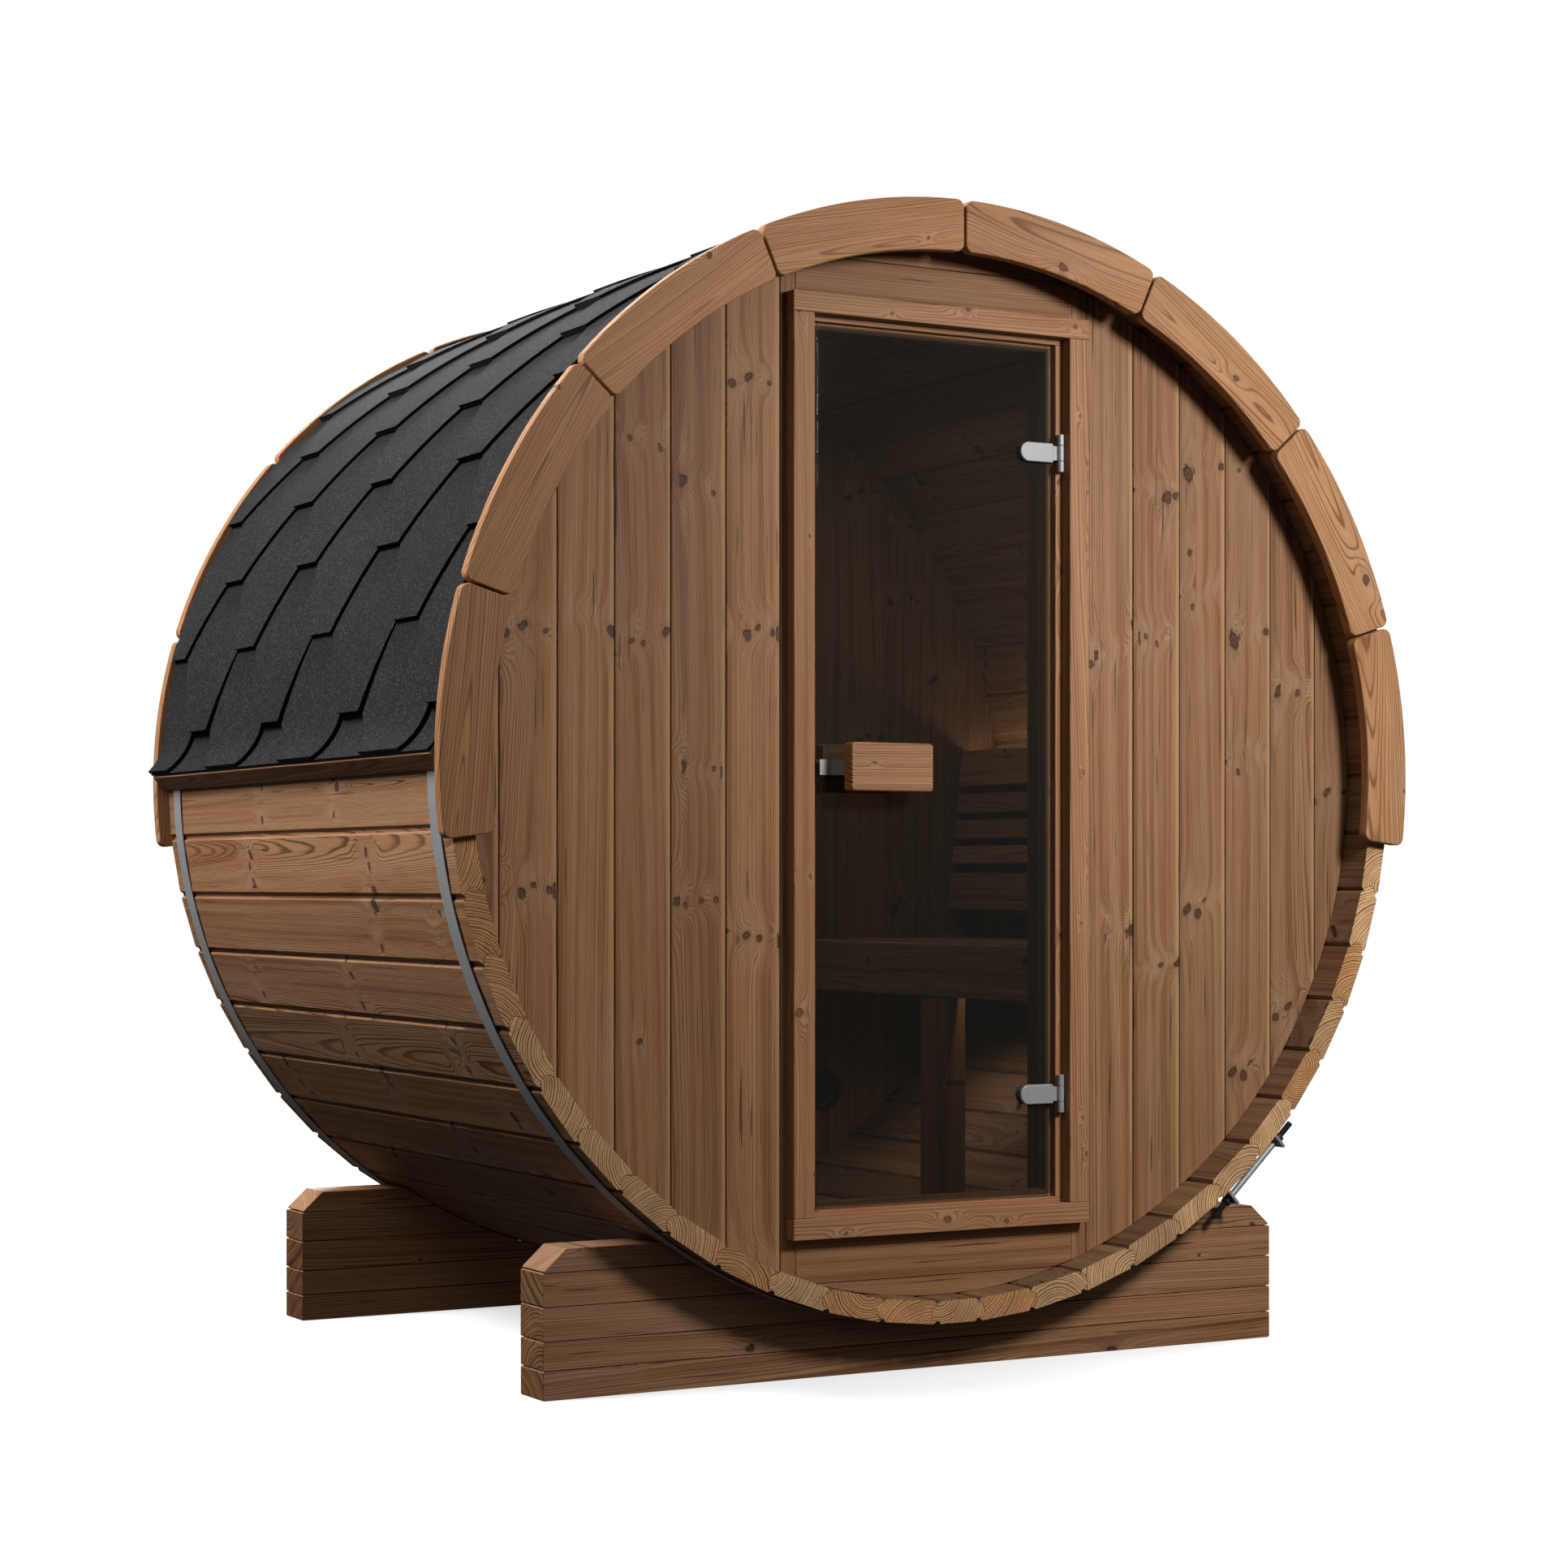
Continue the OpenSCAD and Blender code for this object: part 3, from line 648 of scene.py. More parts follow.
def led_mat(name):
    g = Graph(name)
    p = g.sep(g.attr("bp"))
    cell = g.m("ABSOLUTE", g.sub(g.m("FRACT", g.mul(p[2], 30.0)), 0.5))
    hot = g.smooth(cell, 0.05, 0.45, 1.0, 0.55)
    g.set(Base_Color=(0.85, 0.62, 0.36), Emission_Color=g.mix(hot, (1.0, 0.60, 0.33), (1.0, 0.76, 0.50)),
          Emission_Strength=34.0, Roughness=0.5)
    return g.mat


WALL_C = ((0.312, 0.166, 0.081), (0.165, 0.075, 0.034), (0.053, 0.022, 0.010))
M_WALL = wood("wall_boards", *WALL_C, contrast=0.90, ring=0.95, single=(2.2, 10.0, 0.10, 0.007),
              whorl=(2.1, 0.85, 0.0104, 1.15), edge=0.75, wave=0.010, thin=0.42)
M_HEAD = wood("header_boards", *WALL_C, contrast=0.74, ring=1.0, single=(3.2, 11.0, 0.30, 0.008), wave=0.014, thin=0.42)
M_STAVE = wood("stave_boards", (0.324, 0.179, 0.094), (0.115, 0.051, 0.023), (0.050, 0.023, 0.012),
               contrast=0.95, whorl=(1.9, 0.90, 0.0085, 1.75), single=(2.6, 13.0, 0.10, 0.006), wave=0.015, ring=0.82, thin=0.44, streaks=0.6)
# painted shade: a darker copy of the board wood for the inner faces of staves and walls and for the door lining
M_INNER_SHADED = wood("inner_boards_shaded", (0.215, 0.128, 0.072), (0.105, 0.056, 0.029), (0.036, 0.018, 0.010),
               contrast=0.75, whorl=(1.9, 0.90, 0.0085, 1.5), wave=0.020, thin=0.42, streaks=0.4, grey=0.2)
M_TRIM = wood("trim_boards", (0.368, 0.200, 0.103), (0.200, 0.091, 0.040), (0.112, 0.051, 0.023),
              contrast=0.86, single=(7.0, 17.0, 0.72, 0.0072), tint=(0.92, 0.16), grey=0.12, bands=0.6, streaks=0.3, thin=0.42,
              reach=1.6, push=2.6)
M_ARCH = wood("arch_boards", (0.394, 0.210, 0.102), (0.178, 0.077, 0.032), (0.092, 0.039, 0.017),
              contrast=0.94, single=(4.6, 10.0, 0.34, 0.0080), tint=(0.88, 0.28), grey=0.10, ring=1.14,
              wave=0.034, bands=0.45, streaks=0.2, thin=0.60, reach=1.9, push=2.8)
M_CRADLE = wood("cradle_boards", (0.340, 0.180, 0.090), (0.150, 0.068, 0.031), (0.046, 0.021, 0.012),
                contrast=0.85, single=(4.0, 15.0, 0.34, 0.0075), tint=(0.86, 0.24), bands=0.8, ring=1.1, thin=0.42)
M_BENCH = wood("bench_boards", (0.300, 0.178, 0.098), (0.160, 0.083, 0.042), (0.065, 0.029, 0.015), single=(3.0, 11.0, 0.35, 0.009))
M_EAVE = wood("eave_boards", (0.345, 0.200, 0.122), (0.150, 0.080, 0.046), (0.040, 0.020, 0.012), contrast=0.8,
              single=(3.5, 12.0, 0.40, 0.008), grey=0.1)
M_END = end_grain("board_ends", (0.640, 0.400, 0.205), (0.205, 0.088, 0.034))
M_END_DARK = end_grain("cradle_ends", (0.178, 0.086, 0.034), (0.046, 0.020, 0.008), ring=1.5)
M_SHINGLE = shingle_mat("shingle_granules")
M_SHEDGE = shingle_edge_mat("shingle_edges")
M_HOOP = steel("hoop_band", (0.335, 0.335, 0.339), 0.50, (3.0, 3.0, 260.0), spread=0.16, metallic=0.35)
M_ROD = steel("rod_black", (0.055, 0.056, 0.060), 0.45, (60.0, 60.0, 60.0), spread=0.4, metallic=0.8)
M_HINGE = steel("hinge_satin", (0.340, 0.340, 0.343), 0.42, (40.0, 900.0, 40.0), spread=0.08, metallic=0.25)
M_STRAP = steel("strap_satin", (0.34, 0.34, 0.344), 0.40, (40.0, 900.0, 40.0), spread=0.08, metallic=0.45)
M_GLASS = glass_mat("bronze_glass")
M_VENT = plastic("vent_moulding", (0.030, 0.026, 0.024), 0.45)
M_LED = led_mat("led_strip")

# ---------------------------------------------------------------------------
# Staves
# ---------------------------------------------------------------------------
DA = 6.745
BEAD_A = 0.7
K_SIDE = 20
DA_TOP = (180.0 - (K_SIDE + 0.5) * DA + BEAD_A) / (26 - K_SIDE)


def joint_side(h, kind, under, n=12):
    """One edge of a stave at half angle h, outer corner to inner corner. kind 1 bead, -1 cove.
    The edge that faces down has a chamfer; the one that faces up has a rebate and a chamfer."""
    t, g = math.tan(math.radians(h)), 0.3
    s, k = math.sin(math.radians(h)), math.cos(math.radians(h))
    er, et = np.array([s, k]), np.array([k, -s])

    def at(depth, r):
        return (r * t - g - depth, r)

    pts = [at(5.0, RO), at(0.0, RO - 5.0)] if under else [at(9.6, RO), at(6.6, RO - 2.8), at(6.4, RO - 5.5), at(0.0, RO - 5.6)]
    rad = 14.6 if kind == 1 else 15.1
    cen = (RM + 1.6) * er + (-3.4 if kind == 1 else 3.4) * et
    a = math.acos((3.4 - g if kind == 1 else 3.4 + g) / rad)
    for i in range(n + 1):
        q = a - 2 * a * i / n
        d = math.sin(q) * er + (1 if kind == 1 else -1) * math.cos(q) * et
        pts.append(tuple(cen + rad * d))
    return pts + [at(0.0, RI + 5.4), at(5.4, RI)]


def stave_outline(h, lo, hi, k):
    up = joint_side(h, hi, k < 0)
    dn = [(-x, y) for x, y in joint_side(h, lo, k > 0)][::-1]
    pts = np.array(dn + up)
    n, half = len(pts), len(dn)
    r = np.zeros(n)
    r[0] = r[-1] = 0.8
    r[half - 1] = r[half] = 0.9
    return fillet(pts, r, 3)


def make_staves():
    groups = {"staves_bottom": range(-5, 6), "staves_lower_left": range(-13, -5),
              "staves_lower_right": range(6, 14), "staves_upper_left": range(-20, -13),
              "staves_upper_right": range(14, 21), "staves_top": list(range(21, 27)) + list(range(-26, -20))}
    for name, ks in groups.items():
        part = Part()
        for k in ks:
            rng = random.Random(1000 + k)
            n = abs(k)
            h = DA / 2 - BEAD_A if k == 0 else (DA_TOP / 2 if n > K_SIDE else DA / 2)
            mid = (K_SIDE + 0.5) * DA - BEAD_A + (n - K_SIDE - 0.5) * DA_TOP if n > K_SIDE else n * DA - BEAD_A
            phi = math.radians(math.copysign(mid, k) if k else 0.0)
            lo = -1 if k > 0 else 1
            hi = -1 if k < 0 or k == 26 else 1
            c, s = math.cos(phi), math.sin(phi)
            dy = rng.uniform(0.0, 0.9)
            dr = rng.uniform(-0.35, 0.35)

            def fn(a, b, y, c=c, s=s, dy=dy, dr=dr):
                return (a * c + (b + dr) * s, y + (dy if y < 700 else -dy), a * s - (b + dr) * c)

            board(part, rng, stave_outline(h, lo, hi, k), 0.0, L, fn, "cab", "stave", rnd=0.35, inner=(1, -1))
        part.build(name + "_boards", [M_STAVE, M_END, M_INNER_SHADED], "cabin", "stave_wood", [name])


# ---------------------------------------------------------------------------
# End walls
# ---------------------------------------------------------------------------
def strip(x0, x1, z0=-2000.0, z1=2000.0, n=9):
    """Outline in x, z of an upright strip clipped to the round of the barrel."""
    x0, x1 = max(x0, -WALL_R + 0.4), min(x1, WALL_R - 0.4)
    xs = np.linspace(x0, x1, n)
    arc = np.sqrt(WALL_R ** 2 - xs ** 2)
    top = np.column_stack([xs, np.minimum(arc, z1)])
    bot = np.column_stack([xs, np.maximum(-arc, z0)])
    p = tidy(np.concatenate([bot, top[::-1]]))
    keep = []
    for i in range(len(p)):
        a, b, c = p[i - 1], p[i], p[(i + 1) % len(p)]
        if abs(np.cross(b - a, c - b)) > 1e-3:
            keep.append(b)
    return np.array(keep)


def keep_round(p, mi):
    """Bevel only the straight edges of a wall board, not its edge along the ring."""
    mi = mi.copy()
    x0, x1 = p[:, 0].min(), p[:, 0].max()
    for i, (x, z) in enumerate(p):
        if abs(math.hypot(x, z) - WALL_R) < 0.8:
            side = 1 if x < x0 + 0.05 else -1 if x > x1 - 0.05 else 0
            mi[i] = (side, -side * x / z) if side and abs(z) > 150 else (0.0, 0.0)
    return mi


def make_walls():
    for side, s in (("front_wall_left", -1), ("front_wall_right", 1)):
        part = Part()
        for k in range(6):
            rng = random.Random(2000 + s * 40 + k)
            a = 329.0 + k * 109.0 + 0.5
            b = 960.0 if k == 5 else 329.0 + (k + 1) * 109.0 - 0.5
            dy = rng.uniform(0.0, 0.8)
            # painted shade: the right-wall boards get fixed tones, darker step by step towards the ring; the right wall
            # is also set less warm than the left
            board(part, rng, strip(a, b) if s > 0 else strip(-b, -a), WY0 + dy, WY1, plain, "bac", "wall", rnd=3.6, nseg=2, rnd1=2.0, fix=keep_round,
                  tint=(0.62 - 0.11 * k if s > 0 else None), warm=(0.15 if s > 0 else 0.85), inner=(2, 1))
        part.build(side + "_boards", [M_WALL, M_END, M_INNER_SHADED], "cabin", "wall_wood", [side])
    part = Part()
    for s in (-1, 1):
        rng = random.Random(2100 + s)
        board(part, rng, strip(297.0, 329.0) if s > 0 else strip(-329.0, -297.0), WY0, WY1, plain, "bac", "wall", rnd=2.4, rnd1=1.5, fix=keep_round)
    part.build("door_post_boards", [M_HEAD, M_END], "cabin", "wall_wood", ["door_posts"])
    for name, zs, seed in (("header_boards", ((834.5, 914.5), (915.5, 2000.0)), 2200), ("sill_boards", ((-919.5, -825.5), (-2000.0, -920.5)), 2300)):
        part = Part()
        for i, (z0, z1) in enumerate(zs):
            rng = random.Random(seed + i)
            near = min(abs(z0), abs(z1))
            hw = min(296.6, math.sqrt(WALL_R ** 2 - near ** 2) - 0.6)
            board(part, rng, strip(-hw, hw, z0, z1, 33), WY0, WY1, plain, "abc", "wall", rnd=1.2 if hw < 290 else 1.7, tint=0.35)
        part.build(name + "_pieces", [M_HEAD, M_END], "cabin", "wall_wood", [name])
    # rear wall with the vent hole through one board
    part = Part()
    for k in range(-9, 9):
        rng = random.Random(2400 + k)
        a, b = k * 109.0 + 0.5, (k + 1) * 109.0 - 0.5
        if a < 490 < b:
            tw, sd = rng.random(), 2450
            for half in (1, -1):
                full = strip(a, b)
                th = np.linspace(math.pi, 0, 33)
                hole = np.column_stack([490 + 40 * np.cos(th), -669 + half * 40 * np.sin(th)])
                rest = full[full[:, 1] * half > 0] if half > 0 else full[full[:, 1] < -700]
                rest = rest[np.argsort(rest[:, 0])][::-1] if half > 0 else rest[np.argsort(rest[:, 0])][::-1]
                poly = np.concatenate([[(a, -669)], hole, [(b, -669)], rest])

                def fix(p, mi):
                    mi = mi.copy()
                    for i, q in enumerate(p):
                        if abs(q[1] + 669) < 1e-6:
                            mi[i] = (1 if abs(q[0] - a) < 1e-6 else -1 if abs(q[0] - b) < 1e-6 else (-1 if q[0] < 490 else 1), 0)
                    return mi

                board(part, random.Random(sd), poly, RY0, RY1, plain, "bac", "wall", rnd=1.8, fix=fix, tint=tw, inner=(2, -1))
        else:
            board(part, rng, strip(a, b), RY0, RY1, plain, "bac", "wall", rnd=2.0, rnd1=3.4, fix=keep_round, inner=(2, -1))
    part.build("rear_wall_boards", [M_WALL, M_END, M_INNER_SHADED], "cabin", "wall_wood", ["rear_wall"])


# ---------------------------------------------------------------------------
# Door frame and trim
# ---------------------------------------------------------------------------
def make_frame():
    part = Part()
    for s in (-1, 1):
        rng = random.Random(3000 + s)
        o = np.array([(260, 71), (296.6, 71), (296.6, 113), (247, 113), (247, 85), (260, 85)], float)
        o = fillet(o, [1.6, 0.8, 0.8, 1.2, 1.6, 0.5])
        o[:, 0] *= s
        board(part, rng, o, -788.6, 797.6, upright, "cab", "trim", rnd=0.6, tint=0.45)
    part.build("door_jamb_boards", [M_TRIM, M_END], "cabin", "trim_wood", ["door_jambs"])
    for name, sg, z0, z1, ze in (("door_jamb_head", 1, 798.0, 834.0, 785.0), ("door_threshold", -1, -825.0, -789.0, -776.0)):
        part = Part()
        rng = random.Random(3100 + sg)
        board(part, rng, fillet(rect(z0, z1, 71, 113), 1.4), -296.6, 296.6, along_x, "cab", "trim", rnd=0.6, tint=0.4)
        board(part, rng, fillet(rect(min(ze, ze + sg * 14), max(ze, ze + sg * 14), 85, 113), 1.2), -246.6, 246.6, along_x, "cab", "trim", rnd=0.6, tint=0.4)
        part.build(name + "_board", [M_TRIM, M_END], "cabin", "trim_wood", [name])
    part = Part()
    for s in (-1, 1):
        rng = random.Random(3200 + s)
        x0, x1 = (274.0, 317.0) if s > 0 else (-317.0, -274.0)
        for y0, y1, c in ((43.0, 70.6, [2.4, 2.4, 1.8, 1.8]), (113.4, 141.0, [1.8, 1.8, 2.4, 2.4])):
            board(part, rng, fillet(rect(x0, x1, y0, y1), c), -798.6, 807.6, upright, "cab", "trim", rnd=0.7, tint=0.55 if s > 0 else 0.5)
    part.build("trim_stile_boards", [M_TRIM, M_END], "cabin", "trim_wood", ["trim_stiles"])
    part = Part()
    for i, (z0, z1) in enumerate(((808.0, 845.0), (-838.0, -799.0))):
        rng = random.Random(3300 + i)
        for y0, y1, c in ((43.0, 70.6, [2.4, 2.4, 1.8, 1.8]), (113.4, 141.0, [1.8, 1.8, 2.4, 2.4])):
            board(part, rng, fillet(rect(z0, z1, y0, y1), c), -317.0, 317.0, along_x, "cab", "trim", rnd=1.6, tint=0.5, warm=0.85)
    part.build("trim_rail_boards", [M_TRIM, M_END], "cabin", "trim_wood", ["trim_rails"])
    # lining that carries the frame on past the inner trim
    part = Part()
    for s in (-1, 1):
        rng = random.Random(3400 + s)
        x0, x1 = (248.0, 273.6) if s > 0 else (-273.6, -248.0)
        board(part, rng, fillet(rect(x0, x1, 113.5, 148.0), 1.6), -788.6, 797.6, upright, "cab", "trim", rnd=0.6, tint=0.3, warm=0.3)
    for i, (z0, z1) in enumerate(((798.0, 807.6), (-798.6, -789.0))):
        board(part, random.Random(3410 + i), fillet(rect(z0, z1, 113.5, 148.0), 1.6), -273.6, 273.6, along_x, "cab", "trim", rnd=0.6, tint=0.3, warm=0.3)
    part.build("door_lining_boards", [M_INNER_SHADED, M_END_DARK], "cabin", "trim_wood")


# ---------------------------------------------------------------------------
# Arch trim
# ---------------------------------------------------------------------------
def polar(r, a):
    return np.array([r * math.sin(math.radians(a)), r * math.cos(math.radians(a))])


def arch_outline(a0, a1, ro=1024.0, ri=930.0, c=15.0, n=26, nc=8):
    qo, qi = ro - c, ri + c
    eo, ei = math.degrees(math.asin(c / qo)), math.degrees(math.asin(c / qi))

    def corner(r, a, d0):
        return [polar(r, a) + polar(c, d0 + 90 * i / nc) for i in range(nc + 1)]

    pts = [polar(ro, a0 + eo + (a1 - a0 - 2 * eo) * i / n) for i in range(1, n)]
    pts += corner(qo, a1 - eo, a1 - eo) + corner(qi, a1 - ei, a1 - ei + 90)
    pts += [polar(ri, a1 - ei - (a1 - a0 - 2 * ei) * i / n) for i in range(1, n)]
    pts += corner(qi, a0 + ei, a0 + ei + 180) + corner(qo, a0 + eo, a0 + eo + 270)
    return tidy(pts)


def make_arches():
    for name, y0, seed in (("front_arch", -24.0, 4000), ("rear_arch", 1425.4, 4100)):
        part = Part()
        for k in range(-4, 4):
            rng = random.Random(seed + k * 7)
            am = (k + 0.5) * 24.4
            board(part, rng, arch_outline(k * 24.4 + 0.13, (k + 1) * 24.4 - 0.13), y0, y0 + 23.6, plain, "abc", "arch",
                  rnd=2.8, nseg=3, turn=-math.radians(am), tint=(0.12, 0.55, 1.0, 0.7, 0.5, 0.55, 0.5, 0.4)[k + 4], warm=(0.85 if k < 0 else 0.2))
        part.build(name + "_boards", [M_ARCH, M_ARCH], "cabin", "arch_wood", [name])


# ---------------------------------------------------------------------------
# Roof: rows of hexagon-tab shingles, flared at the eave, with ridge caps
# ---------------------------------------------------------------------------
R_DECK = 1002.6
ROWS_S = 1013.0              # radius at which the row levels are measured
EXPO, PITCH, FLAT = 153.4, 398.0, 104.0
SLANT = PITCH / 2 - FLAT
S_ROW0 = 95.0
TAB_T, TAB_H = 6.0, 13.0
FLARE_Z = 84.0


def deck_table():
    """The deck line in x, z from the eave edge upwards, with outward normals, by distance s."""
    th0 = math.asin(FLARE_Z / R_DECK)
    n, length = 60, 81.0
    psi0, psi1 = th0, math.radians(47.0)
    x, z = R_DECK * math.cos(th0), R_DECK * math.sin(th0)
    low = [(ROWS_S * th0, x, z, math.cos(th0), math.sin(th0))]
    for i in range(n):
        ps = psi0 + (psi1 - psi0) * ((i + 0.5) / n)
        x += math.sin(ps) * length / n
        z -= math.cos(ps) * length / n
        pe = psi0 + (psi1 - psi0) * ((i + 1) / n)
        low.append((ROWS_S * th0 - length * (i + 1) / n, x, z, math.cos(pe), math.sin(pe)))
    low.reverse()
    return np.array(low)


LOW = deck_table()
S_EAVE = LOW[0, 0]
S_RIDGE = ROWS_S * math.pi / 2


def on_deck(s, off):
    """Point in x, z at distance s up the roof, off above the deck (right-hand side)."""
    if s >= LOW[-1, 0]:
        th = s / ROWS_S
        return (R_DECK + off) * math.cos(th), (R_DECK + off) * math.sin(th)
    x, z, nx, nz = (np.interp(s, LOW[:, 0], LOW[:, k]) for k in range(1, 5))
    return x + nx * off, z + nz * off


def zigzag(y, mid):
    d = abs((y - mid + PITCH / 2) % PITCH - PITCH / 2)
    if d <= FLAT / 2:
        return 0.0
    if d <= FLAT / 2 + SLANT:
        return (d - FLAT / 2) / SLANT
    return 1.0


def row_columns(mid, y0, y1):
    ys = {y0, y1}
    k0 = int((y0 - mid) // PITCH) - 1
    for k in range(k0, k0 + 8):
        m = mid + k * PITCH
        for s in (-1, 1):
            ys.add(m + s * FLAT / 2)
            ys.add(m + s * (FLAT / 2 - 26))
            for i in range(1, 9):
                ys.add(m + s * (FLAT / 2 + SLANT * i / 8))
            ys.add(m + s * (FLAT / 2 + SLANT + 26))
        ys.add(m)
        ys.add(m + PITCH / 2)
    return sorted(y for y in ys if y0 <= y <= y1)


def slab(part, cols, bottom, top, lift, side, rng, tone, ns=10, thick=TAB_T, shade=lambda s, y: 0.0):
    """A closed sheet over the deck. bottom(y) and top(y) give its ends; lift(s, y) its underside;
    shade(s, y) how much painted shade it gets from the row that laps over it."""
    nc = len(cols)
    pts, bp, bt, faces, mats = [], [], [], [], []
    for layer in (1, 0):
        for y in cols:
            b, t = bottom(y), top(y)
            for j in range(ns + 1):
                s = b + (t - b) * j / ns
                x, z = on_deck(s, lift(s, y) + layer * thick)
                pts.append((side * x, y, z))
                bp.append((s * 0.001 + 7.0 * side, y * 0.001, layer * thick * 0.001))
                bt.append((tone(y), shade(s, y), 0.5))
    w = ns + 1

    def idx(layer, i, j):
        return (0 if layer else nc * w) + i * w + j

    for i in range(nc - 1):
        for j in range(ns):
            faces.append((idx(1, i, j), idx(1, i + 1, j), idx(1, i + 1, j + 1), idx(1, i, j + 1)))
            mats.append(0)
            faces.append((idx(0, i, j), idx(0, i, j + 1), idx(0, i + 1, j + 1), idx(0, i + 1, j)))
            mats.append(1)
        for j in (0, ns):
            faces.append((idx(1, i, j), idx(1, i + 1, j), idx(0, i + 1, j), idx(0, i, j)))
            mats.append(1)
    for i in (0, nc - 1):
        for j in range(ns):
            faces.append((idx(1, i, j), idx(1, i, j + 1), idx(0, i, j + 1), idx(0, i, j)))
            mats.append(1)
    part.add(pts, faces, mats, np.array(bp), np.array(bp), np.array(bt))


def make_roof():
    y0, y1 = 0.8, L - 0.8
    for name, side in (("roof_left", -1), ("roof_right", 1)):
        part = Part()
        rng = random.Random(5000 + side)
        # starter strip along the eave, with its straight edge
        cols = np.linspace(y0, y1, 40).tolist()
        slab(part, cols, lambda y: S_EAVE, lambda y: 150.0, lambda s, y: 0.3, side, rng, lambda y: 0.3, ns=14, thick=3.4)
        for n in range(-1, 10):
            mid = (203.0 if n % 2 else 402.0) + (0 if side < 0 else 60.0)
            s_n = S_ROW0 + n * EXPO
            s_t = min(s_n + 2 * EXPO + 30.0, S_RIDGE - 1.0)
            full = 2 * EXPO + 30.0
            tones = {}
            dips = {}

            def tab(y, mid=mid):
                return math.floor((y - mid + PITCH / 2) / PITCH)

            for k in range(-6, 8):
                tones[k] = rng.uniform(0.15, 0.85)
                dips[k] = rng.uniform(-0.5, 0.9)

            def bottom(y, mid=mid, s_n=s_n):
                return max(s_n + EXPO * zigzag(y, mid), S_EAVE - 1.5)

            def lift(s, y, s_n=s_n, full=full, dips=dips, tab=tab, low=1.0 if n < 7 else 1.0 - 0.15 * (n - 6)):
                q = max(0.0, min(1.0, (s_n + full - s) / full))
                base = TAB_H * low * q
                if s_n < 0:
                    base = 3.9 + 2.0 * q
                return base + dips[tab(y)] * max(0.0, q - 0.5) * 1.2

            # painted shade under the flats of the row above, fading over 95 mm
            def shade(s, y, mid=mid, lap=s_n + 2 * EXPO):
                return max(0.0, 1.0 - max(0.0, lap - s) / 95.0) * max(0.0, 1.0 - 3.0 * zigzag(y, mid))

            slab(part, row_columns(mid, y0, y1), bottom, lambda y, s_t=s_t: s_t, lift, side, rng,
                 lambda y, tab=tab, tones=tones: tones[tab(y)], shade=shade)
        part.build(name + "_shingles", [M_SHINGLE, M_SHEDGE], "cabin", "shingle", [name], sharp=30)
    # ridge caps, each lapped over the next towards the rear
    part = Part()
    rng = random.Random(5100)
    n, lap = 9, 168.0
    for i in range(n + 1):
        a = y1 - i * (y1 - y0) / n
        ya, yb = max(y0, a - lap - 60.0), a
        if i == n:
            continue
        tone = rng.uniform(0.3, 0.7)
        pts, bp, faces, mats = [], [], [], []
        na, ny = 15, 4
        for layer in (1, 0):
            for j in range(ny + 1):
                y = ya + (yb - ya) * j / ny
                lift = 14.3 + 3.0 * (j / ny) + (3.4 if layer else 0.0)
                for q in range(na):
                    half = math.radians(9.0 - (0.35 if j == ny else 0.0))
                    th = -half + 2 * half * q / (na - 1)
                    sag = 1.5 * abs(q - (na - 1) / 2) / ((na - 1) / 2)
                    rr = R_DECK + lift - sag
                    pts.append((rr * math.sin(th), y, rr * math.cos(th)))
                    bp.append((th, y * 0.001 + 3.0 * i, 0.001 * lift))
        w = na

        def idx(layer, j, q):
            return (0 if layer else (ny + 1) * w) + j * w + q

        for j in range(ny):
            for q in range(na - 1):
                faces.append((idx(1, j, q), idx(1, j, q + 1), idx(1, j + 1, q + 1), idx(1, j + 1, q))); mats.append(0)
                faces.append((idx(0, j, q), idx(0, j + 1, q), idx(0, j + 1, q + 1), idx(0, j, q + 1))); mats.append(1)
            for q in (0, na - 1):
                faces.append((idx(1, j, q), idx(1, j + 1, q), idx(0, j + 1, q), idx(0, j, q))); mats.append(1)
        for j in (0, ny):
            for q in range(na - 1):
                faces.append((idx(1, j, q), idx(1, j, q + 1), idx(0, j, q + 1), idx(0, j, q))); mats.append(1)
        part.add(pts, faces, mats, np.array(bp), np.array(bp), np.tile([tone, 0.0, 0.5], (len(pts), 1)))
    part.build("ridge_caps", [M_SHINGLE, M_SHEDGE], "cabin", "shingle", sharp=30)
    part = Part()
    for s in (-1, 1):
        rng = random.Random(5200 + s)
        o = np.array([(1003.4, -18), (1031.4, 8), (1031.4, 11), (1004.4, 43), (1003.4, 43)], float)
        o = fillet(o, [1.5, 1.2, 1.2, 1.0, 1.0])
        o[:, 0] *= s
        board(part, rng, o, 1.0, L - 1.0, along_y, "cba", "trim", rnd=0.8)
    part.build("eave_batten_boards", [M_EAVE, M_EAVE], "cabin", "eave_wood", ["eave_battens"])


# ---------------------------------------------------------------------------
# Hoops and their tensioners
# ---------------------------------------------------------------------------
TENS = math.radians(43.2)


def at_tens(a, b, y):
    """Tangential a and radial b at the hoop's gap, to x, y, z."""
    c, s = math.cos(TENS), math.sin(TENS)
    return (a * c + b * s, y, a * s - b * c)


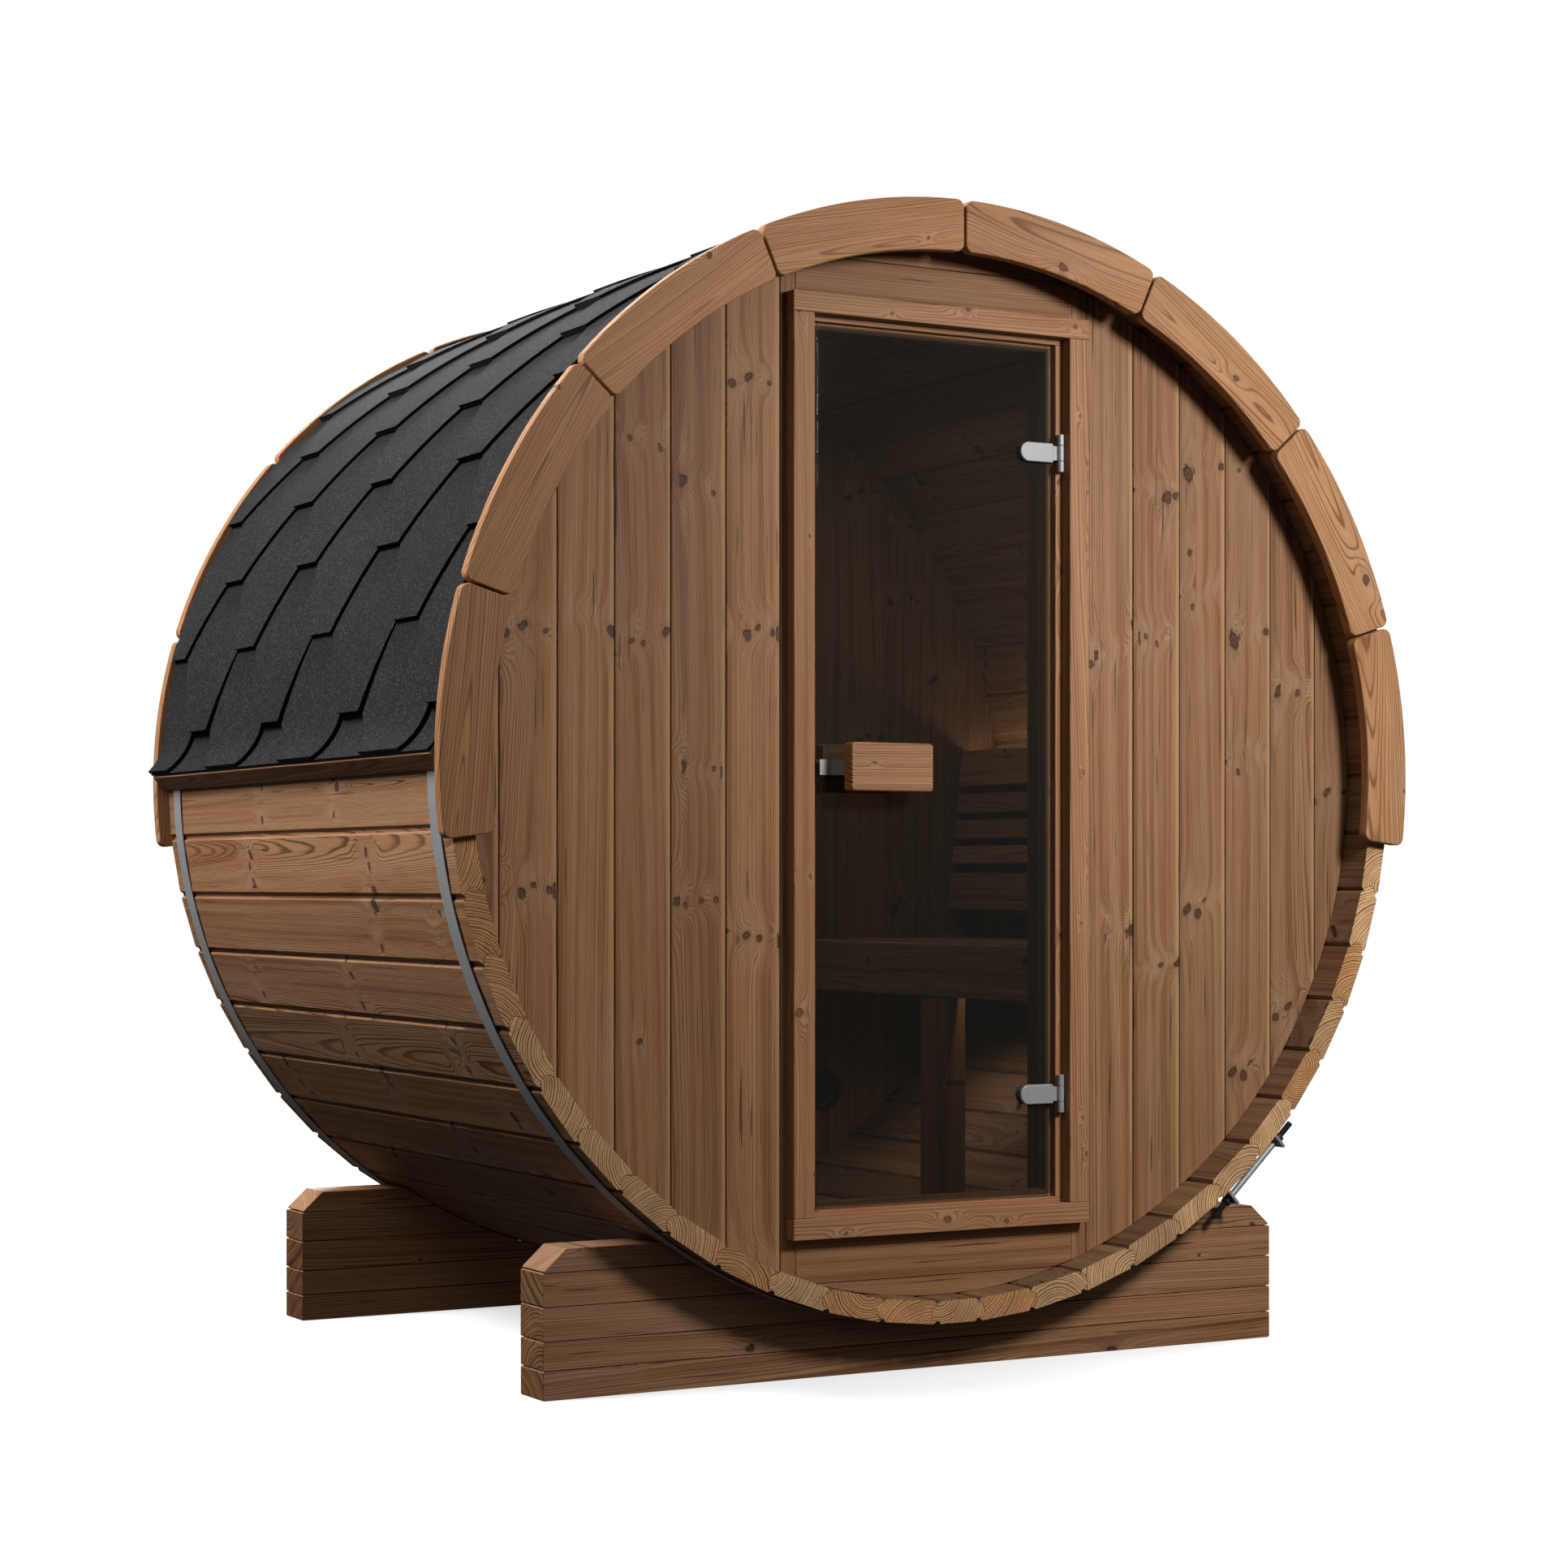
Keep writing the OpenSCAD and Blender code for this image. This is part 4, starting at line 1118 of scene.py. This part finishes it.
def make_hoops():
    for name, yc in (("front_hoop", 60.0), ("rear_hoop", L - 60.0)):
        part = Part()
        prof = fillet(rect(1000.2, 1002.2, yc - 20, yc + 20), 0.8, 3)
        gap = math.asin(76.0 / 1000.2)
        n = 300
        pts, bp, faces = [], [], []
        for i in range(n + 1):
            t = TENS + gap + (2 * math.pi - 2 * gap) * i / n
            for r, y in prof:
                pts.append((r * math.sin(t), y, -r * math.cos(t)))
                bp.append((math.cos(t), math.sin(t), y * 0.001))
        k = len(prof)
        for i in range(n):
            for j in range(k):
                j2 = (j + 1) % k
                faces.append((i * k + j, i * k + j2, (i + 1) * k + j2, (i + 1) * k + j))
        faces.append(tuple(range(k)))
        faces.append(tuple(range(n * k, n * k + k)))
        part.add(pts, faces, [0] * len(faces), np.array(bp), np.array(bp))
        for s in (-1, 1):
            plate = fillet(rect(s * 76 - 3, s * 76 + 3, 998.4, 1054.0), [1.6, 1.6, 2.4, 2.4], 3)
            bar(part, plate, yc - 18, yc + 18, at_tens_prism, rnd=1.0)
            # weld fillet where the lug meets the band
            gus = fillet([(s * 76 + s * 3, 1001.4), (s * 76 + s * 12, 1001.0), (s * 76 + s * 3, 1012.0)], 1.0)
            bar(part, gus, yc - 15, yc + 15, at_tens_prism, rnd=0.6)
        part.build(name + "_band", [M_HOOP], "cabin", "hoop_steel", [name])
    part = Part()
    for yc in (60.0, L - 60.0):
        def rod(x, y, h, yc=yc):
            return at_tens(h, 1040.0 + x, yc + y)
        prof = [(4.6, -126.0), (5.9, -124.6)]
        z = -124.0
        while z < 124.0:
            inside = abs(z) < 44.0
            prof.append((6.0, z + 0.5))
            prof.append((6.0 if inside else 5.3, z + 1.4))
            z += 2.0
        prof += [(5.9, 124.6), (4.6, 126.0)]
        lathe(part, prof, rod, 20)
        for h0 in (-76 - 3.3 - 11, 76 + 3.3):
            hexa = [(11 * math.cos(math.pi * i / 3), 11 * math.sin(math.pi * i / 3)) for i in range(6)]
            bar(part, fillet(hexa, 2.0, 3), h0, h0 + 11, lambda a, b, c, rod=rod: rod(a, b, c), rnd=1.4, nseg=3)
            ring = [(6.3, 0.0), (11.8, 0.0), (12.4, 0.6), (12.4, 1.5), (11.8, 2.0), (6.3, 2.0)]
            hz = (-76 - 3.2 - 2.0) if h0 < 0 else (76 + 3.2)
            lathe(part, [(r, hz + t) for r, t in ring], rod, 32, bore=True)
        # plain shank between the lugs
        sl = [(6.02, -72.4), (6.4, -71.8), (6.4, 71.8), (6.02, 72.4)]
        lathe(part, sl, rod, 28, mat=1, bore=True)
    part.build("tension_rod_sets", [M_ROD, M_HOOP], "cabin", "rod_steel", ["tension_rods"])


def at_tens_prism(a, b, c):
    return at_tens(a, b, c)


# ---------------------------------------------------------------------------
# Cradles
# ---------------------------------------------------------------------------
SEAT_R = 1000.4
BOARD_Z = [0, 50, 100, 159, 218, 259]


def seat_x(zr):
    d = AXIS - zr
    return math.sqrt(max(SEAT_R ** 2 - d * d, 0.0))


def make_cradles():
    hw, cut = 781.0, 44.0
    for name, y0, seed in (("front_cradle", 95.0, 6000), ("rear_cradle", 1238.0, 6100)):
        part = Part()
        for i in range(5):
            z0, z1 = BOARD_Z[i] + (1.5 if i else 0.0), float(BOARD_Z[i + 1])
            rng = random.Random(seed + i)
            t = rng.uniform(0.3, 0.9)
            if i == 0:
                shapes = [rect(-hw, hw, z0, z1)]
            elif i == 1:
                xs = np.linspace(seat_x(z1), -seat_x(z1), 25)
                arc = [(x, AXIS - math.sqrt(SEAT_R ** 2 - x * x)) for x in xs]
                shapes = [[(-hw, z0), (hw, z0), (hw, z1)] + arc + [(-hw, z1)]]
            else:
                shapes = []
                for s in (-1, 1):
                    zs = np.linspace(z0, z1, 9)
                    arc = [(s * seat_x(z), z) for z in zs]
                    out = [(s * (hw - (cut if i == 4 else 0.0)), z1), (s * hw, z0)]
                    shapes.append(arc + out)
            for q, o in enumerate(shapes):
                o = ccw(o)
                o = fillet(o, 2.6, 3)
                rs = random.Random(seed + i * 10 + q)
                dy = rs.uniform(0.0, 0.7)
                board(part, rs, np.column_stack([o[:, 0], o[:, 1] - AXIS]), y0 + dy, y0 + 92 - dy, plain, "abc", "cradle", rnd=1.1, tint=t)
        part.build(name + "_boards", [M_CRADLE, M_END_DARK], "cabin", "cradle_wood", [name])


# ---------------------------------------------------------------------------
# Bench, backrest and light strips
# ---------------------------------------------------------------------------
def lean(a, b, c):
    """Backrest local x, z to the barrel frame: leans 6 degrees out with height."""
    q = math.radians(6.0)
    z = b + 266.0
    return (816.0 + a * math.cos(q) + z * math.sin(q), c, -266.0 - a * math.sin(q) + z * math.cos(q))


def make_bench():
    part = Part()
    for i in range(4):
        x0 = 432.0 + i * 112.0
        board(part, random.Random(7000 + i), fillet(rect(x0, x0 + (92 if i == 3 else 98), -358, -330), 4.0, 4), BY0, BY1, along_y, "cab", "bench", rnd=1.5)
    part.build("bench_seat_slats", [M_BENCH, M_END], "cabin", "bench_wood", ["bench_seat"])
    part = Part()
    board(part, random.Random(7010), fillet(rect(400, 428, -440, -330), 3.5, 4), BY0, BY1, along_y, "cba", "bench", rnd=1.2)
    part.build("bench_apron_board", [M_BENCH, M_END], "cabin", "bench_wood", ["bench_apron"])
    part = Part()
    for i, y in enumerate((BY0 + 3, BYM - 22, BY1 - 48)):
        zs = np.linspace(-440, -359, 7)
        xe = np.sqrt(WALL_R ** 2 - zs ** 2) - 0.5
        o = [(429.5, -440)] + [(min(x, 900.0), z) for x, z in zip(xe, zs)] + [(429.5, -359)]
        board(part, random.Random(7020 + i), fillet(o, 1.5, 2), y, y + (44 if i == 1 else 45), plain, "abc", "bench", rnd=1.2)
    zb = -math.sqrt(WALL_R ** 2 - 444 ** 2)
    zl = -math.sqrt(WALL_R ** 2 - 402 ** 2)
    board(part, random.Random(7030), fillet([(402, zl + 0.5), (444, zb + 0.5), (444, -441), (402, -441)], 2.0, 2), BYM - 54, BYM + 54, plain, "bca", "bench", rnd=1.5)
    part.build("bench_frame_boards", [M_BENCH, M_END], "cabin", "bench_wood", ["bench_frame"])
    part = Part()
    for i, (z0, z1) in enumerate(((17, 101), (-45, 0), (-103, -60), (-161, -120), (-266, -182))):
        board(part, random.Random(7040 + i), fillet(rect(0, 20, z0, z1), 3.5, 3), BY0 + 6, BY1 - 6, lean, "cba", "bench", rnd=1.2)
    part.build("backrest_slat_boards", [M_BENCH, M_END], "cabin", "bench_wood", ["backrest_slats"])
    part = Part()
    for i, y in enumerate((BY0 + 70, BYM - 22, BY1 - 114)):
        pts = []
        for z in np.linspace(-262, 60, 15):
            a = 20.6
            while a < 90:
                x, _, zz = lean(a, z, 0)
                if x * x + zz * zz > (WALL_R - 0.6) ** 2:
                    break
                a += 0.5
            pts.append((a, z))
        o = [(20.6, -262)] + pts + [(20.6, 60)]
        board(part, random.Random(7050 + i), tidy(o, 0.3), y, y + 44, lean, "bac", "bench", rnd=1.0)
    part.build("backrest_batten_boards", [M_BENCH, M_END], "cabin", "bench_wood", ["backrest_battens"])
    part = Part()
    for o, y0, y1, sg in ((rect(894, 902, 72, 82), BY0 + 10, BY1 - 10, 1), (rect(430, 438, -390, -380), BY0 + 60, BYM - 60, -1)):
        pts, faces, dirs = prism(fillet(o, 2.0, 3), y0, y1, 0.8)
        lit = [0 if d[1] * sg > 0.5 else 1 for d in dirs]
        part.add(np.array([along_y(*q) for q in pts]), faces, lit, bp=pts * 0.001, bq=pts * 0.001)
    part.build("led_strip_lines", [M_LED, M_VENT], "cabin", "led", ["led_strips"])


# ---------------------------------------------------------------------------
# Door: glass, grips, straps and hinges
# ---------------------------------------------------------------------------
def make_door():
    part = Part()
    bar(part, fillet(rect(-254, 254, -783, 792), 2.5, 3), 71, 79, plain, rnd=1.0)
    part.build("door_glass_pane", [M_GLASS], "door", "glass", ["door_glass"])
    part = Part()
    for i, (y0, y1) in enumerate(((8, 38), (112, 142))):
        board(part, random.Random(8007 + i), fillet(rect(-218, -48, -41, 46), 8.0, 6), y0, y1, plain, "abc", "trim", rnd=3.6, nseg=4, tint=0.6)
    part.build("door_grip_blocks", [M_TRIM, M_END], "door", "trim_wood", ["door_handle"])
    part = Part()
    a, b = 70.7, 38.3
    line = [(-250, a), (-250, a - 3), (-226, a - 3), (-219, a - 8), (-213, b + 9), (-206, b), (-130, b),
            (-130, b + 3), (-204, b + 3), (-210, b + 10), (-216, a - 6), (-224, a)]
    o = fillet(line, [0.8, 0.8, 5, 6, 6, 5, 0.8, 0.8, 4, 5, 5, 4], 4)
    for mirror in (False, True):
        oo = np.column_stack([o[:, 0], 150.0 - o[:, 1]]) if mirror else o
        bar(part, oo, -12, 16, upright, rnd=0.7)
        if mirror:
            # fixing screw on the inner end
            scr = [(6.5, 0.0), (6.5, 0.9), (5.6, 1.9), (3.2, 2.5), (1.9, 2.5), (1.6, 1.2)]
            lathe(part, scr, lambda x, y, h: (-238 + x, 82.3 + h, 2 + y), 32)
    part.build("handle_strap_plates", [M_STRAP], "door", "hinge_steel", ["handle_straps"])

    def dplate(x1):
        pts = [(196 + 18 * math.cos(t), 18 * math.sin(t)) for t in np.linspace(math.pi / 2, 3 * math.pi / 2, 25)]
        return fillet(pts + [(x1, -18), (x1, 18)], [0] * 25 + [2.6, 2.6], 4)

    leaf, fixed = Part(), Part()
    for zc in (595.0, -597.0):
        def up(a, b, c, zc=zc):
            return (a, c, b + zc)

        def kn(x, y, h, zc=zc):
            return (265.0 + x, 61.0 + y, zc + h)

        bar(leaf, dplate(250), 63.0, 70.7, up, rnd=2.2, nseg=4, rnd1=0.4)
        bar(leaf, fillet(rect(248, 264, -13.5, 13.5), 1.0), 63.6, 68.6, up, rnd=0.7)
        lathe(leaf, [(3.1, -14.2), (5.5, -14.2), (6.2, -13.5), (6.2, 13.5), (5.5, 14.2), (3.1, 14.2)], kn, 40, bore=True)
        bar(leaf, dplate(241), 79.3, 84.0, up, rnd=0.4, nseg=3, rnd1=1.8)
        for x in (206.0, 232.0):
            # clamping screws on the inner plate
            lathe(leaf, [(5.2, 0.0), (5.2, 0.8), (4.4, 1.8), (2.4, 2.2), (1.5, 2.2), (1.3, 0.9)],
                  lambda a, b, h, x=x, zc=zc: (x + a, 83.8 + h, zc + b), 28)
        lathe(fixed, [(3.0, -35.6), (3.0, 35.6)], kn, 24)
        for h0, h1 in ((-35.0, -14.8), (14.8, 35.0)):
            lathe(fixed, [(3.02, h0), (5.2, h0), (6.2, h0 + 1.0 if h0 < 0 else h0 + 0.6), (6.2, h1 - (0.6 if h0 < 0 else 1.0)), (5.2, h1), (3.02, h1)], kn, 40, bore=True)
            bar(fixed, fillet(rect(261, 271, h0 + zc, h1 + zc), 1.2), 63.0, 70.7, plain, rnd=0.8)
    leaf.build("hinge_door_plates", [M_HINGE], "door", "hinge_steel", ["hinge_door_leaves"])
    fixed.build("hinge_frame_knuckles", [M_HINGE], "cabin", "hinge_steel", ["hinge_frame_leaves"])


make_staves()
make_walls()
make_frame()
make_arches()
make_roof()
make_hoops()
make_cradles()
make_bench()
make_door()

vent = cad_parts["rear_vent"]
vent.data.materials.clear()
vent.data.materials.append(M_VENT)

# sliding flap inside the vent pipe, with its pull
flap = Part()
lathe(flap, [(35.2, 0.0), (35.2, 1.6), (34.4, 2.4), (9.0, 2.4), (8.2, 3.2), (8.0, 9.0), (7.0, 10.0), (2.0, 10.4)],
      lambda x, y, h: (490.0 + x, RY0 + 16.0 - h, -669.0 + y), 48)
flap.build("vent_flap", [M_VENT], "cabin", "vent_plastic")

# ---------------------------------------------------------------------------
# Stage, light and camera
# ---------------------------------------------------------------------------
def stage_mat(name, base, glow, fade=None):
    g = Graph(name)
    g.set(Base_Color=base, Roughness=0.9, Specular_IOR_Level=0.0, Emission_Color=(1.0, 1.0, 1.0), Emission_Strength=glow)
    if fade:
        p = g.sep(g.t.nodes.new("ShaderNodeNewGeometry").outputs["Position"])
        g.set(Alpha=g.smooth(g.hyp(p[0], p[1]), fade[0], fade[1], 1.0, 0.0))
    return g.mat


def disc(name, r, z, mat, n=96):
    me = bpy.data.meshes.new(name)
    me.from_pydata([(r * math.cos(2 * math.pi * i / n), r * math.sin(2 * math.pi * i / n), z) for i in range(n)], [], [tuple(range(n))])
    me.materials.append(mat)
    ob = bpy.data.objects.new(name, me)
    bpy.context.scene.collection.objects.link(ob)
    return ob


floor = disc("studio_floor", 12.0, -0.0005, stage_mat("floor_paint", (0.50, 0.50, 0.50), 0.60, (2.2, 8.0)))
floor.visible_diffuse = False
floor.visible_glossy = False
bm = bmesh.new()
bmesh.ops.create_icosphere(bm, subdivisions=4, radius=58.0)
me = bpy.data.meshes.new("studio_dome")
bm.to_mesh(me)
bm.free()
me.materials.append(stage_mat("dome_paint", (0.0, 0.0, 0.0), 1.02))
dome = bpy.data.objects.new("studio_dome", me)
bpy.context.scene.collection.objects.link(dome)
dome.visible_diffuse = False
dome.visible_glossy = False
dome.visible_shadow = False
dome.visible_transmission = False

world = bpy.data.worlds.new("studio")
bpy.context.scene.world = world
world.use_nodes = True
wt = world.node_tree
bg = wt.nodes["Background"]
tc = wt.nodes.new("ShaderNodeTexCoord")
sp = wt.nodes.new("ShaderNodeSeparateXYZ")
wt.links.new(tc.outputs["Generated"], sp.inputs[0])
mr = wt.nodes.new("ShaderNodeMapRange")
mr.interpolation_type = "SMOOTHSTEP"
mr.inputs["From Min"].default_value = -0.10
mr.inputs["From Max"].default_value = 0.9
mr.inputs["To Min"].default_value = 0.04
mr.inputs["To Max"].default_value = 0.34
wt.links.new(sp.outputs["Z"], mr.inputs["Value"])
wt.links.new(mr.outputs[0], bg.inputs["Strength"])
bg.inputs["Color"].default_value = (1.0, 1.0, 1.0, 1.0)


def area(name, loc, target, size, power, colour=(1.0, 1.0, 1.0), spread=180.0):
    li = bpy.data.lights.new(name, "AREA")
    li.shape = "DISK"
    li.size = size
    li.energy = power
    li.color = colour
    li.spread = math.radians(spread)
    ob = bpy.data.objects.new(name, li)
    ob.location = loc
    d = np.array(target, float) - np.array(loc, float)
    d /= np.linalg.norm(d)
    from mathutils import Vector
    ob.rotation_euler = Vector(d).to_track_quat("-Z", "Y").to_euler()
    ob.visible_camera = False
    bpy.context.scene.collection.objects.link(ob)
    return ob


area("key", (0.72, -2.98, 2.18), (0.7, -0.64, 0.9), 0.6, 34.0, (1.0, 0.985, 0.965), 125.0)
area("left", (-4.3, 0.6, 5.0), (-0.6, 0.1, 1.1), 2.2, 490.0, (0.98, 0.99, 1.0))
area("back", (1.2, 5.4, 3.6), (0.0, 0.6, 1.2), 2.2, 300.0)
area("right", (5.6, 1.0, 3.6), (0.5, 0.0, 1.0), 2.4, 260.0)
room = area("room", (0.0, 0.1, 1.9), (0.0, 0.1, 0.3), 0.5, 4.8, (1.0, 0.93, 0.84))
room.visible_glossy = False
low = area("room_low", (0.56, 0.15, 0.62), (0.50, 0.15, 0.2), 0.30, 0.75, (1.0, 0.84, 0.68), 150.0)
low.visible_glossy = False

cam = bpy.data.cameras.new("camera")
cam.sensor_fit = "HORIZONTAL"
cam.sensor_width = 36.0
cam.lens = 72.551
cam.shift_x = 0.0
cam.shift_y = (1086.199 - 966.0) / 1932.0
cam.clip_end = 200.0
cob = bpy.data.objects.new("camera", cam)
cob.location = (-3.08270, -5.51915, 0.88889)
cob.rotation_euler = (math.pi / 2, 0.0, -math.radians(29.513))
bpy.context.scene.collection.objects.link(cob)
bpy.context.scene.camera = cob
bpy.context.scene.view_settings.view_transform = "Standard"
bpy.context.scene.view_settings.look = "None"
